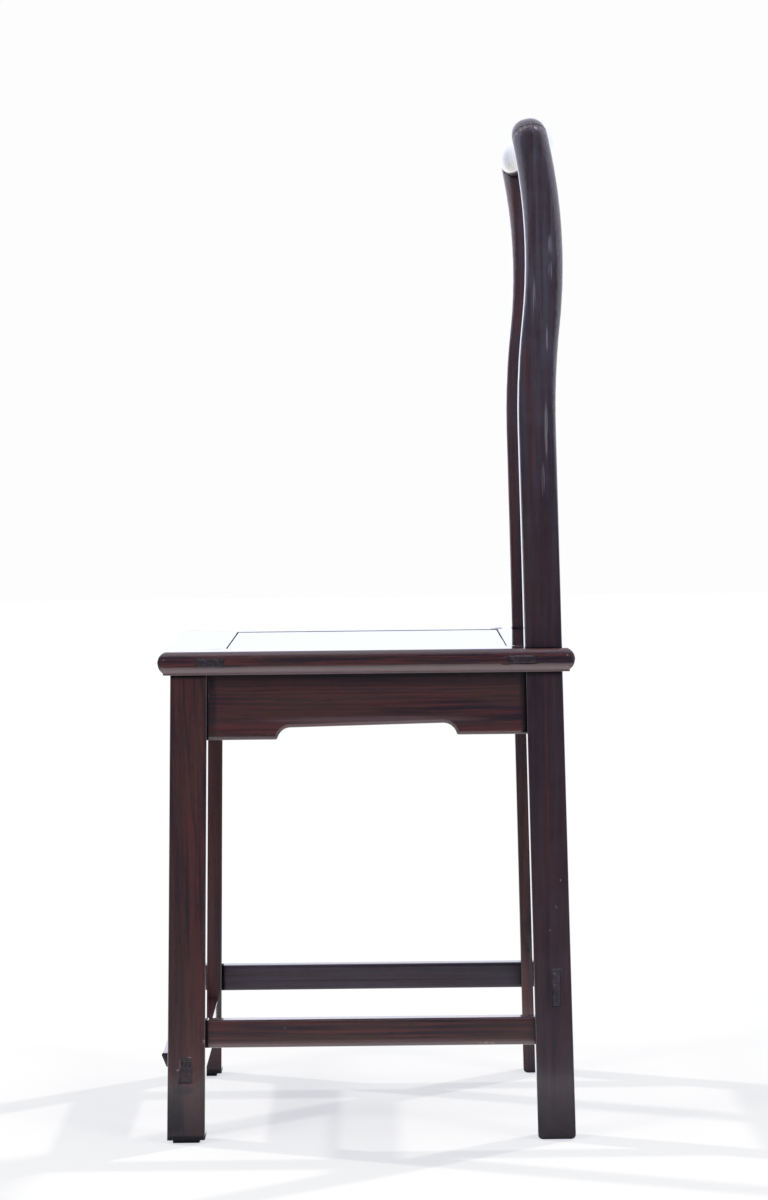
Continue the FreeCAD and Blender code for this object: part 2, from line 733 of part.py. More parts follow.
def seat_rails(splat_mortise):
    """Front, rear and left rails of the seat frame. The front and rear rails carry the corner tenons."""
    gap = "S.joint_gap"
    half_width, half_depth = "(S.seat_width / 2)", "(S.seat_depth / 2)"
    rear_bar = mitred_rail("rear_rail", "YZ_Plane", half_depth, half_width)
    side_bar = mitred_rail("side_rail", "XZ_Plane", half_width, half_depth)
    tenon = boolean("Common", "rear_rail_tenon", seat_tenon("rear_tenon_bar"), side_bar)
    rear_core = fuse("rear_rail_core", rear_bar, *both_sides("rear_rail_tenon", tenon))
    groove = panel_box(
        "panel_groove", "(S.tongue_length + S.panel_gap)", "(%s - %s)" % (PANEL_BASE, gap),
        "(%s + S.tongue_thickness + %s)" % (PANEL_BASE, gap))
    batten_mortises = batten_tenons("batten_mortises", gap)
    neck_hole, leg_socket = post_neck("post_neck_hole", gap), leg_tenon("front_leg_socket", gap)
    rear_rail = cut(
        "seat_rear_rail", rear_core, groove, batten_mortises, splat_mortise,
        *both_sides("post_neck_hole", neck_hole))
    front_rail = cut(
        "seat_front_rail", flipped("front_rail_core", rear_core), groove, batten_mortises,
        *both_sides("front_leg_socket", leg_socket))
    tenon_hole = seat_tenon("rear_tenon_hole", gap)
    left_rail = cut(
        "seat_left_rail", side_bar, groove, neck_hole, leg_socket, tenon_hole,
        flipped("front_tenon_hole", tenon_hole))
    return front_rail, rear_rail, left_rail


def seat_panel():
    """Panel that floats in the frame's groove on its tongue, with a dovetailed slot for the batten."""
    board = panel_box("panel_board", "0", PANEL_BASE, PANEL_TOP)
    tongue_top = "(%s + S.tongue_thickness)" % PANEL_BASE
    tongue = panel_box("panel_tongue", "S.tongue_length", PANEL_BASE, tongue_top)
    whole = fuse("panel_with_tongue", board, tongue)
    return cut("seat_panel", whole, batten_bar("batten_slot", "S.joint_gap"))


def batten_bar(name, gap="0"):
    """Batten with a dovetailed key along its top, running from front to back under the panel."""
    body = new_body(name)
    sketch = new_sketch(body, name + "_section", "XZ_Plane")
    wide, neck = "(S.batten_width / 2)", "(S.batten_key_neck / 2 + %s)" % gap
    head, foot = "(S.batten_key_width / 2 + %s)" % gap, "(%s - S.batten_height)" % PANEL_BASE
    crown = "(%s + S.batten_key_height + %s)" % (PANEL_BASE, gap)
    draw(sketch, [
        (negative(wide), foot), (wide, foot), (wide, PANEL_BASE), (neck, PANEL_BASE), (head, crown),
        (negative(head), crown), (negative(neck), PANEL_BASE), (negative(wide), PANEL_BASE),
    ])
    pad(body, sketch, "2 * (S.seat_depth / 2 - S.rail_width)", symmetric=True)
    return body


def batten_tenons(name, gap="0"):
    """Bar that makes the batten's two tenons, into the front and the rear rail."""
    half = "(S.batten_key_neck / 2 + %s)" % gap
    reach = "(S.seat_depth / 2 - S.rail_width + S.batten_tenon + %s)" % gap
    top = "(%s - S.batten_tenon_drop + %s)" % (PANEL_BASE, gap)
    base = "(%s - S.batten_tenon_drop - S.batten_tenon_height - %s)" % (PANEL_BASE, gap)
    return cuboid(name, (negative(half), negative(reach), base), (half, reach, top))


def seat_batten():
    """Batten under the panel, tenoned into the front and the rear rail."""
    return fuse("seat_batten", batten_bar("batten_body"), batten_tenons("batten_tenons"))


def apron_outline(sketch, inner_face, reach, fall):
    """Apron with deep ends, an S-shaped step near each end and a shallower middle.

    The fall is how much lower its first end hangs than its last one.
    """
    radii = "((S.apron_step_run ^ 2 + S.apron_step ^ 2) / (2 * S.apron_step))"
    corner, cove = "S.apron_corner", "(%s - S.apron_corner)" % radii
    share = "(S.apron_corner / %s)" % radii
    near = "(%s - S.apron_end - S.apron_step_run / 2)" % inner_face
    far = "(%s + S.apron_step_run)" % near
    join = "(%s - %s * S.apron_step_run)" % (far, share)
    levels = []
    for sign in (-1, 1):
        base = "(%s - S.apron_depth + %d * (%s) / 2)" % (RAIL_BASE, sign, fall)
        levels.append((base, "(%s + %s * S.apron_step)" % (base, share), "(%s + S.apron_step)" % base))
    first, last = levels
    draw(sketch, [
        (negative(reach), first[0]), (negative(far), first[0]), (negative(join), first[1]),
        (negative(near), first[2]), (near, last[2]), (join, last[1]), (far, last[0]), (reach, last[0]),
        (reach, RAIL_BASE), (negative(reach), RAIL_BASE),
    ], {1: (corner, 1), 2: (cove, -1), 4: (cove, -1), 5: (corner, 1)})


def lower_arris(shape, outwards, face):
    """Names of the edges along the bottom of a board's outer face, without its upright ends."""
    names = []
    for index, edge in enumerate(shape.Edges, start=1):
        on_face = abs(edge.CenterOfMass.dot(outwards) - face) < SAME_PLACE
        if on_face and edge.BoundBox.ZMax < value(RAIL_BASE) - SAME_PLACE:
            names.append("Edge%d" % index)
    return names


def apron_blank(name, role, outwards, axis, reach, fall="0"):
    """Apron board that still runs into the legs. The axis is theirs across it, the reach theirs along it."""
    body = new_body(name)
    face = "(%s + S.leg_side / 2 - S.apron_setback)" % axis
    sketch = new_sketch(body, name + "_outline", role, "%s - S.apron_thickness" % face)
    apron_outline(sketch, "(%s - S.leg_side / 2)" % reach, reach, fall)
    board = pad(body, sketch, "S.apron_thickness")
    doc.recompute()
    rounding = body.newObject("PartDesign::Fillet", name + "_arris")
    rounding.Base = (board, lower_arris(board.Shape, outwards, value(face)))
    bind(rounding, {"Radius": "S.apron_round"})
    return body


def apron_tongues(name, axis, reach, gap="0"):
    """Corners of the bar that makes an apron's tongues: low and high along it, across it and upwards."""
    middle = "(%s + S.leg_side / 2 - S.apron_setback - S.apron_thickness / 2)" % axis
    half = "(S.apron_tongue / 2 + %s)" % gap
    end = "(%s - S.leg_side / 2 + S.apron_tongue_depth + %s)" % (reach, gap)
    base = "(%s - S.apron_tongue_height - %s)" % (RAIL_BASE, gap)
    across = ("(%s - %s)" % (middle, half), "(%s + %s)" % (middle, half))
    return (negative(end), end), across, (base, RAIL_BASE)


def side_apron_tongues(name, gap="0"):
    """Tongues of the left apron, or the slots for them."""
    along, across, up = apron_tongues(name, LEG_X, LEG_Y, gap)
    return cuboid(name, *zip(across, along, up))


def front_apron_tongues(name, gap="0"):
    """Tongues of the front apron, or the slots for them."""
    along, across, up = apron_tongues(name, LEG_Y, LEG_X, gap)
    return cuboid(name, *zip(along, (negative(across[1]), negative(across[0])), up))


def side_apron(legs):
    """Left apron."""
    outwards = FreeCAD.Vector(1, 0, 0)
    blank = apron_blank("side_apron_blank", "YZ_Plane", outwards, LEG_X, LEG_Y, "S.side_apron_fall")
    return framed("left_apron", blank, side_apron_tongues("side_apron_tongues"), legs)


def front_apron(legs):
    """Front apron."""
    blank = apron_blank("front_apron_blank", "XZ_Plane", FreeCAD.Vector(0, -1, 0), LEG_Y, LEG_X)
    return framed("front_apron", blank, front_apron_tongues("front_apron_tongues"), legs)


def stretcher_bar(name, role, middle, base, height, reach):
    """Rounded bar that still runs into the legs."""
    body = new_body(name)
    sketch = new_sketch(body, name + "_section", role)
    level = "(%s + %s / 2)" % (base, height)
    rounded_square(
        sketch, "S.stretcher_thickness", "S.stretcher_round", "S.stretcher_round", (middle, level), height)
    pad(body, sketch, "2 * (%s)" % reach, symmetric=True)
    return body


SIDE_LEVEL = "(S.side_stretcher_base + S.side_stretcher_height / 2)"


def side_stretcher_tenons(name, gap="0"):
    """Blind tenons of the left stretcher, or the mortises for them."""
    middle = leg_x(SIDE_LEVEL)
    reach = "(%s - S.leg_side / 2 + S.side_tenon_length + %s)" % (leg_y(SIDE_LEVEL), gap)
    half, rise = "(S.stretcher_tenon / 2 + %s)" % gap, "(S.side_tenon_height / 2 + %s)" % gap
    return cuboid(
        name, ("%s - %s" % (middle, half), negative(reach), "%s - %s" % (SIDE_LEVEL, rise)),
        ("%s + %s" % (middle, half), reach, "%s + %s" % (SIDE_LEVEL, rise)))


def side_stretcher(legs):
    """Left stretcher, between the left front leg and the left back post."""
    bar = stretcher_bar(
        "side_stretcher_bar", "XZ_Plane", leg_x(SIDE_LEVEL), "S.side_stretcher_base",
        "S.side_stretcher_height", LEG_Y)
    return framed("left_stretcher", bar, side_stretcher_tenons("side_stretcher_tenons"), legs)


REAR_LEVEL = "(S.rear_stretcher_base + S.rear_stretcher_height / 2)"
REAR_FACE = "(%s + S.leg_side / 2 - S.rear_stretcher_setback)" % leg_y(REAR_LEVEL)
REAR_Y = "(%s - S.stretcher_thickness / 2)" % REAR_FACE


def rear_stretcher_tenons(name, gap="0"):
    """Through tenons of the rear stretcher, or the mortises for them."""
    reach = "(S.seat_width / 2 + S.overrun)"
    half, rise = "(S.stretcher_tenon / 2 + %s)" % gap, "(S.rear_tenon_height / 2 + %s)" % gap
    return cuboid(
        name, (negative(reach), "%s - %s" % (REAR_Y, half), "%s - %s" % (REAR_LEVEL, rise)),
        (reach, "%s + %s" % (REAR_Y, half), "%s + %s" % (REAR_LEVEL, rise)))


def rear_stretcher(legs):
    """Rear stretcher, whose tenons show on the outer faces of the back posts."""
    bar = stretcher_bar(
        "rear_stretcher_bar", "YZ_Plane", REAR_Y, "S.rear_stretcher_base", "S.rear_stretcher_height", LEG_X)
    return framed("rear_stretcher", bar, rear_stretcher_tenons("rear_stretcher_tenons"), legs)


REST_LEVEL = "(S.footrest_base + S.footrest_height / 2)"
REST_FACE = "(-(%s + S.leg_side / 2))" % leg_y(REST_LEVEL)


def footrest_tenons(name, gap="0"):
    """Through tenons of the footrest, or the mortises for them."""
    reach, rise = "(S.seat_width / 2 + S.overrun)", "(S.footrest_tenon_height / 2 + %s)" % gap
    front = "(%s + S.footrest_tenon_inset - %s)" % (REST_FACE, gap)
    return cuboid(
        name, (negative(reach), front, "%s - %s" % (REST_LEVEL, rise)),
        (reach, "%s + S.footrest_tenon + 2 * (%s)" % (front, gap), "%s + %s" % (REST_LEVEL, rise)))


def footrest_bar():
    """Footrest with a moulded nose that stands proud of the legs."""
    body = new_body("footrest_bar")
    sketch = new_sketch(body, "footrest_section", "YZ_Plane")
    nose = "(%s - S.footrest_nose)" % REST_FACE
    nose_foot = "(%s - S.footrest_nose_foot)" % REST_FACE
    recess = "(%s + S.footrest_setback)" % REST_FACE
    back = "(%s + S.footrest_back)" % REST_FACE
    top = "(S.footrest_base + S.footrest_height)"
    underside = "(%s - S.footrest_nose_height)" % top
    draw(sketch, [
        (recess, "S.footrest_base"), (back, "S.footrest_base"), (back, top),
        ("%s + S.footrest_nose_round" % nose, top), (nose, "%s - S.footrest_nose_round" % top),
        (nose_foot, underside), (recess, underside),
    ], {3: ("S.footrest_nose_round", 1)})
    pad(body, sketch, "2 * " + LEG_X, symmetric=True)
    return body


def footrest(legs):
    """Footrest between the front legs."""
    return framed("front_footrest", footrest_bar(), footrest_tenons("footrest_tenons"), legs)


def foot_pad():
    """Thin pad under the left front foot."""
    body = new_body("front_left_foot_pad")
    sketch = new_sketch(body, "foot_pad_plan", "XY_Plane")
    rounded_square(sketch, "S.pad_side", "S.pad_corner", "S.pad_corner", (leg_x("0"), negative(leg_y("0"))))
    pad(body, sketch, "S.pad_thickness")
    return body


def build_chair():
    """Makes every piece: those in the middle, and those on the left with their twins on the right."""
    gap = "S.joint_gap"
    slab = frame_slab()
    front_blank, rear_blank = leg_blank("front_leg_blank", -1), leg_blank("rear_leg_blank", 1)
    legs = group("leg_blanks", [
        *both_sides("front_leg_blank", front_blank), *both_sides("rear_leg_blank", rear_blank)])
    whole_crest = fuse("whole_crest", crest_bar(), *both_sides("crest_elbow", crest_elbow()))
    splat_mortise = splat_board("splat_mortise", "(-2 * S.splat_shoulder + 2 * S.joint_gap)")

    side_mortises = [side_apron_tongues("side_apron_slots", gap), side_stretcher_tenons("side_mortises", gap)]
    front_slots = front_apron_tongues("front_apron_slots", gap)
    front_mortises = side_mortises + [front_slots, footrest_tenons("footrest_mortises", gap)]
    rear_slots = flipped("rear_apron_slots", front_slots)
    rear_mortises = side_mortises + [rear_slots, rear_stretcher_tenons("rear_stretcher_mortises", gap)]

    front_rail, rear_rail, left_rail = seat_rails(splat_mortise)
    front_board = front_apron(legs)
    middle = [
        crest_rail(whole_crest, splat_mortise), back_splat(whole_crest, slab), front_rail, rear_rail,
        seat_panel(), seat_batten(), front_board, flipped("rear_apron", front_board), footrest(legs),
        rear_stretcher(legs),
    ]
    left = [
        front_leg(front_blank, slab, front_mortises), back_post(rear_blank, slab, rear_mortises),
        left_rail, side_apron(legs), side_stretcher(legs), foot_pad(),
    ]
    return middle + left + [mirrored(item.Label.replace("left", "right"), item) for item in left]


def check(pieces):
    """Stops with a message where an object failed or a piece isn't one sound solid."""
    failed = [item.Label for item in doc.Objects if "Invalid" in item.State or "Error" in item.State]
    if failed:
        raise RuntimeError("objects that failed: " + ", ".join(failed))
    for item in pieces:
        shape = item.Shape
        if shape.isNull() or not shape.isValid() or len(shape.Solids) != 1:
            raise RuntimeError("%s is not one valid solid" % item.Label)


def write(pieces):
    """Writes each piece to its own file."""
    os.makedirs("parts", exist_ok=True)
    for item in pieces:
        item.Shape.exportStep("parts/%s.step" % item.Label)
        print("%-22s %9.0f mm3" % (item.Label, item.Shape.Volume))


fill_sheet()
chair = build_chair()
doc.recompute()
check(chair)
write(chair)
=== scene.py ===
"""A tall hardwood side chair: worn, dark, oiled wood on every member, in a plain white studio."""
import json
import math
from dataclasses import dataclass

import bmesh
import bpy
from mathutils import Matrix, Vector

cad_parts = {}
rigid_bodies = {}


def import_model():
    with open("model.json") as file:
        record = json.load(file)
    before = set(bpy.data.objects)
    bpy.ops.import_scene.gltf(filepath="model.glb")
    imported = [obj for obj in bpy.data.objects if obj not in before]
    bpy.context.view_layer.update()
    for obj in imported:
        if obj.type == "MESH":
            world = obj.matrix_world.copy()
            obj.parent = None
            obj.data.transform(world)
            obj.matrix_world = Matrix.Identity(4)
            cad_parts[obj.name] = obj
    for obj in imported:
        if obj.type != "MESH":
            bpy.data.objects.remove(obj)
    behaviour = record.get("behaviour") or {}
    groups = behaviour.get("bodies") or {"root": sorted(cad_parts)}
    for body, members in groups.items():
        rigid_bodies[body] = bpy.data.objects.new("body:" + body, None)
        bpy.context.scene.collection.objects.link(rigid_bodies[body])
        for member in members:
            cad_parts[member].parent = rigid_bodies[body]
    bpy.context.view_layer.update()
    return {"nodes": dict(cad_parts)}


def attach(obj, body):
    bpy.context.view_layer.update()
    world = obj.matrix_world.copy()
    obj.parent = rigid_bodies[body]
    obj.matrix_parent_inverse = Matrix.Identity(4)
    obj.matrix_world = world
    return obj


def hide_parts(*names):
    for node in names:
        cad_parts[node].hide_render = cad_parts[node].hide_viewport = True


bl_info = {
    "name": "Tall Hardwood Side Chair",
    "version": (1, 0, 0),
    "blender": (4, 5, 0),
    "location": "3D View > Sidebar > Chair",
    "description": "Dresses the members of a dark hardwood side chair and sets up its studio",
    "category": "Object",
}

for left_over in list(bpy.data.objects):
    bpy.data.objects.remove(left_over)

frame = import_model()

SIDES = ("left", "right")
GRAIN_TURN = {
    "X": (0.0, -math.pi / 2, 0.0),
    "Y": (math.pi / 2, 0.0, 0.0),
    "Z": (0.0, 0.0, 0.0),
}
AXIS_VECTOR = {"X": Vector((1, 0, 0)), "Y": Vector((0, 1, 0)), "Z": Vector((0, 0, 1))}

# How often each pattern of the wood repeats in a metre: across the grain both ways, then along it.
RING_WANDER = (7.0, 7.0, 1.6)
RING_RIPPLE = (55.0, 55.0, 7.0)
BROAD_FIGURE = (26.0, 26.0, 3.2)
BROWN_PATCHES = (60.0, 60.0, 5.0)
WAX_AND_SHEEN_DRIFT = (190.0, 190.0, 6.0)
COLOUR_STREAKS = (360.0, 360.0, 11.0)
SCUFF_STREAKS = (520.0, 520.0, 16.0)
FIBRES = (1150.0, 1150.0, 24.0)
PORES = (1500.0, 1500.0, 60.0)

# How often each pattern of the wood that doesn't follow the grain repeats in a metre.
RINGS = 260.0
BLOTCHES = 38.0
GRIT = 420.0
MOTTLE = 230.0
CRACKS = 170.0

# How often the felt's fibres repeat in a metre along X, Y and Z, and its clumps in any direction.
FELT_FIBRES = (1800.0, 900.0, 2600.0)
FELT_CLUMPS = 260.0

# How far the year rings wander and ripple, in metres, and how strongly the figure shows.
WANDER_DEPTH = 0.030
RIPPLE_DEPTH = 0.0035
FIGURE_CONTRAST = 1.9

# The heights between which the old wax and its painted sheen grow to their top share, and over which the
# scuffing fades.
WAX_AND_SHEEN_RISE = (0.45, 0.95)
SCUFF_FADE = 0.03

# How far corners and joints reach in the finish, and how deep its relief is.
CORNER_REACH = 0.004
DIRT_AND_SHADE_REACH = 0.011
RELIEF_DEPTH = 0.00025

# The facing value from which the polish is a full mirror.
MIRROR_FULL = 0.95

# How the solids are cleaned and softened.
MERGE_REACH = 1e-6
SHORTEST_EDGE = 0.00012
SHORTEST_CORNER = 0.001
FLAT_ANGLE = math.radians(0.6)
SHARP_ANGLE = math.radians(28.0)
WEAR_FROM_ANGLE = math.radians(7.0)
FULL_WEAR_ANGLE = math.radians(20.0)
FOOT_STEPS = 5

# The arch of small marks along the mitre at the crest's end.
SEAM_MARKS = 11
SEAM_MARK_REACH = (0.02, 0.0032, 0.0032)
SEAM_CENTRE = Vector((0.214, 0.1705, 1.0005))
SEAM_RADIUS = 0.0182

# Single marks on the members, each its kind, its centre and how far it reaches each way.
POST_MARKS = (
    ("scuff", (0.221, 0.1889, 0.8988), (0.02, 0.0034, 0.014)),
    ("scuff", (0.222, 0.1887, 0.8727), (0.02, 0.0030, 0.013)),
    ("scuff", (0.224, 0.1723, 0.8438), (0.02, 0.0020, 0.028)),
    ("scuff", (0.226, 0.1849, 0.8046), (0.02, 0.0022, 0.016)),
    ("scuff", (0.228, 0.1829, 0.7134), (0.02, 0.0024, 0.034)),
    ("scuff", (0.229, 0.1794, 0.6633), (0.02, 0.0018, 0.022)),
    ("red", (0.228, 0.1640, 0.7727), (0.02, 0.0060, 0.045)),
    ("red", (0.230, 0.1680, 0.7100), (0.02, 0.0050, 0.060)),
    ("red", (0.236, 0.1800, 0.3600), (0.02, 0.0035, 0.150)),
    ("bare", (0.239, 0.1880, 0.2342), (0.02, 0.0013, 0.0024)),
    ("bare", (0.239, 0.1817, 0.2111), (0.02, 0.0012, 0.0016)),
    ("bare", (0.239, 0.1923, 0.2614), (0.02, 0.0016, 0.0016)),
    ("stain_and_shadow", (0.240, 0.1801, 0.1517), (0.02, 0.0050, 0.0300)),
    ("bare", (0.240, 0.1725, 0.0025), (0.02, 0.0080, 0.0020)),
)
# On the far post the red streaks and pale bands are painted light along its rounded front.
FAR_POST_MARKS = (
    ("red", (-0.215, 0.1620, 0.8900), (0.05, 0.0080, 0.100)),
    ("red", (-0.220, 0.1580, 0.7700), (0.05, 0.0080, 0.120)),
    ("red", (-0.224, 0.1600, 0.6300), (0.05, 0.0080, 0.120)),
    ("painted_light_band", (-0.215, 0.1610, 0.8900), (0.05, 0.0050, 0.100)),
    ("painted_light_band", (-0.220, 0.1560, 0.7700), (0.05, 0.0050, 0.120)),
)
LEG_MARKS = (
    ("stain_and_shadow", (0.240, -0.2000, 0.0315), (0.02, 0.0160, 0.0380)),
    ("stain_and_shadow", (0.240, -0.1882, 0.0536), (0.02, 0.0140, 0.0070)),
    ("stain_and_shadow", (0.240, -0.1850, 0.0740), (0.02, 0.0100, 0.0110)),
    ("bare", (0.239, -0.1818, 0.0868), (0.02, 0.0030, 0.0014)),
    ("bare", (0.239, -0.1935, 0.0743), (0.02, 0.0050, 0.0012)),
    ("bare", (0.240, -0.1728, 0.0019), (0.02, 0.0040, 0.0016)),
    ("bare", (0.238, -0.1675, 0.1037), (0.02, 0.0016, 0.0040)),
)
SEAT_MARKS = (
    # The pale bands on the seat rail's lower bevel are a painted reflection of the floor.
    ("painted_light_band", (0.250, 0.0, 0.4740), (0.03, 0.60, 0.0065)),
    ("painted_light_band", (0.250, 0.0, 0.4745), (0.03, 0.60, 0.0055)),
    ("bare", (0.249, -0.2067, 0.4912), (0.01, 0.0016, 0.0012)),
    ("bare", (0.249, -0.2033, 0.4877), (0.01, 0.0014, 0.0010)),
    ("bare", (0.249, 0.2010, 0.4882), (0.01, 0.0018, 0.0012)),
    ("stain_and_shadow", (0.249, -0.1573, 0.4852), (0.02, 0.0090, 0.0045)),
    ("stain_and_shadow", (0.249, 0.1539, 0.4852), (0.02, 0.0090, 0.0045)),
)
APRON_MARKS = (
    # The pale stripe on the apron's lower rounding is painted light from the floor.
    ("painted_light_band", (0.235, 0.0, 0.4245), (0.02, 0.14, 0.0050)),
    # A painted shadow under the seat rail, along the apron's top.
    ("stain_and_shadow", (0.235, 0.0, 0.4660), (0.02, 0.90, 0.0120)),
    ("bare", (0.236, -0.1590, 0.4600), (0.02, 0.0013, 0.0200)),
    ("stain_and_shadow", (0.235, -0.1560, 0.4411), (0.02, 0.0070, 0.05)),
    ("stain_and_shadow", (0.235, 0.1580, 0.4427), (0.02, 0.0060, 0.05)),
)
STRETCHER_MARKS = (
    # The pale stripe along the stretcher's lower rounding is painted light from the floor.
    ("painted_light_band", (0.237, 0.0, 0.0985), (0.02, 0.40, 0.0045)),
    ("bare", (0.237, 0.1173, 0.0974), (0.02, 0.0110, 0.0015)),
    ("bare", (0.237, -0.0859, 0.1148), (0.02, 0.0014, 0.0010)),
)
FAR_STRETCHER_MARKS = (
    ("stain_and_shadow", (-0.213, 0.0, 0.1052), (0.02, 0.22, 0.0014)),
    ("bare", (-0.213, -0.010, 0.0925), (0.02, 0.03, 0.0018)),
    ("bare", (-0.213, 0.090, 0.0925), (0.02, 0.05, 0.0014)),
)

# The floor's reach, where it ends towards the camera, and how far the camera sees.
FLOOR_REACH = 14.0
FLOOR_FRONT = 0.82
CAMERA_REACH = 100.0

# Each lamp's name, the direction in which it stands, its level's name and its spread in degrees.
LAMPS = (
    ("key_lamp", (0.62, -0.60, 0.38), "key_level", 13.0),
    ("fill_lamp", (0.62, 0.58, 0.34), "fill_level", 13.0),
    ("back_left_lamp", (-0.34, -0.565, 0.36), "back_level", 2.5),
    ("back_right_lamp", (-0.39, 0.355, 0.28), "back_level", 2.5),
)


class ChairWood(bpy.types.PropertyGroup):
    """The colours and the wear of the wood."""

    dark: bpy.props.FloatVectorProperty(
        name="Dark wood", description="Colour of the dark bands in the grain",
        subtype="COLOR", size=3, min=0.0, max=1.0, default=(0.020, 0.0135, 0.024))
    red: bpy.props.FloatVectorProperty(
        name="Red wood", description="Colour of the warm bands in the grain",
        subtype="COLOR", size=3, min=0.0, max=1.0, default=(0.100, 0.029, 0.031))
    brown: bpy.props.FloatVectorProperty(
        name="Brown wood", description="Colour of the stretches of grain between dark and red",
        subtype="COLOR", size=3, min=0.0, max=1.0, default=(0.066, 0.034, 0.033))
    # Old wax and dust, and with them a painted bluish sheen that grows towards the top.
    wax_and_sheen: bpy.props.FloatVectorProperty(
        name="Old wax", description="Colour of the dull film of wax and dust",
        subtype="COLOR", size=3, min=0.0, max=1.0, default=(0.084, 0.079, 0.128))
    scuff: bpy.props.FloatVectorProperty(
        name="Scuffs", description="Colour of the pale rub marks along the grain",
        subtype="COLOR", size=3, min=0.0, max=1.0, default=(0.24, 0.23, 0.30))
    # These pale bands are painted light: floor light on the lower roundings and a lit front on the far
    # post.
    painted_light_band: bpy.props.FloatVectorProperty(
        name="Pale bands", description="Colour of the worn bands along the lower edges",
        subtype="COLOR", size=3, min=0.0, max=1.0, default=(0.20, 0.135, 0.160))
    bare: bpy.props.FloatVectorProperty(
        name="Bare wood", description="Colour of wood that is rubbed or chipped bare",
        subtype="COLOR", size=3, min=0.0, max=1.0, default=(0.27, 0.22, 0.23))
    # This colour also paints the shade in joints and crevices.
    dirt_and_shade: bpy.props.FloatVectorProperty(
        name="Dirt", description="Colour of the dirt in joints, pores, stains and end grain",
        subtype="COLOR", size=3, min=0.0, max=1.0, default=(0.012, 0.010, 0.017))
    # These dark bands beside the corners are painted shade on the turning arrises.
    edge: bpy.props.FloatVectorProperty(
        name="Edge bands", description="Colour of the dark bands of old wax beside the corners",
        subtype="COLOR", size=3, min=0.0, max=1.0, default=(0.018, 0.014, 0.027))
    shine: bpy.props.FloatVectorProperty(
        name="Shine", description="Colour of the polish where it is seen at a grazing angle",
        subtype="COLOR", size=3, min=0.0, max=1.0, default=(0.99, 0.99, 0.99))
    arris: bpy.props.FloatProperty(
        name="Arris", description="Width of the softened corners",
        unit="LENGTH", subtype="DISTANCE", min=0.0, max=0.003, default=0.0006)
    worn_depth: bpy.props.FloatProperty(
        name="Worn depth", description="How far the corners are worn back at most",
        unit="LENGTH", subtype="DISTANCE", min=0.0, max=0.003, default=0.0005)
    worn_patch: bpy.props.FloatProperty(
        name="Worn patch", description="Length of one worn stretch of a corner",
        unit="LENGTH", subtype="DISTANCE", min=0.001, max=0.2, default=0.018)
    slice: bpy.props.FloatProperty(
        name="Slice", description="Length of the slices that let a corner wear unevenly",
        unit="LENGTH", subtype="DISTANCE", min=0.002, max=0.1, default=0.008)


class ChairFelt(bpy.types.PropertyGroup):
    """The foot pads' felt."""

    felt: bpy.props.FloatVectorProperty(
        name="Felt", description="Colour of the felt",
        subtype="COLOR", size=3, min=0.0, max=1.0, default=(0.020, 0.019, 0.024))
    nap: bpy.props.FloatProperty(
        name="Nap", description="Depth of the felt's nap",
        unit="LENGTH", subtype="DISTANCE", min=0.0, max=0.002, default=0.0004)


class ChairStudio(bpy.types.PropertyGroup):
    """The camera, the lamps and the white surround."""

    camera_place: bpy.props.FloatVectorProperty(
        name="Camera", description="Where the camera stands",
        unit="LENGTH", subtype="TRANSLATION", size=3, default=(4.587, 0.0185, 0.715))
    camera_dip: bpy.props.FloatProperty(
        name="Dip", description="How far the camera looks down",
        unit="ROTATION", subtype="ANGLE", default=math.radians(2.24))
    camera_roll: bpy.props.FloatProperty(
        name="Roll", description="How far the camera leans to the right",
        unit="ROTATION", subtype="ANGLE", default=0.011)
    lens: bpy.props.FloatProperty(
        name="Lens", description="Focal length on a 36 mm sensor, in millimetres",
        min=1.0, default=130.24)
    surround: bpy.props.FloatVectorProperty(
        name="Surround", description="Colour of the white backdrop",
        subtype="COLOR", size=3, min=0.0, max=1.0, default=(0.982, 0.982, 0.986))
    floor_paint: bpy.props.FloatVectorProperty(
        name="Floor", description="Colour of the floor where lamps light it",
        subtype="COLOR", size=3, min=0.0, max=1.0, default=(0.93, 0.90, 0.80))
    floor_glow: bpy.props.FloatProperty(
        name="Floor glow", description="Share of the floor's white that shadows don't take",
        subtype="FACTOR", min=0.0, max=1.0, default=0.5)
    overshoot: bpy.props.FloatProperty(
        name="Overshoot", description="How far open floor lies above the backdrop's white",
        min=0.0, max=0.5, default=0.05)
    gloss_tint: bpy.props.FloatVectorProperty(
        name="Gloss tint", description="Colour of the bluish room that gloss finds behind the chair",
        subtype="COLOR", size=3, min=0.0, max=1.0, default=(0.86, 0.88, 1.0))
    gloss_level: bpy.props.FloatProperty(
        name="Gloss level", description="Level of the room that gloss finds behind the chair",
        min=0.0, max=2.0, default=1.14)
    ambient: bpy.props.FloatProperty(
        name="Ambient", description="Level of the light from all round",
        min=0.0, max=2.0, default=0.5)
    dark_end: bpy.props.FloatProperty(
        name="Dark end", description="Share of the gloss level that is left behind the camera",
        min=0.0, max=1.0, default=0.04)
    key_level: bpy.props.FloatProperty(
        name="Key lamp", description="Level of light that the key lamp gives a face turned to it",
        min=0.0, max=3.0, default=0.20)
    fill_level: bpy.props.FloatProperty(
        name="Fill lamp", description="Level of light that the fill lamp gives a face turned to it",
        min=0.0, max=3.0, default=0.17)
    back_level: bpy.props.FloatProperty(
        name="Back lamps", description="Level of light that each back lamp gives a face turned to it",
        min=0.0, max=3.0, default=0.50)
    window_level: bpy.props.FloatProperty(
        name="Windows", description="Level of two windows high up that only gloss finds",
        min=0.0, max=30.0, default=12.0)


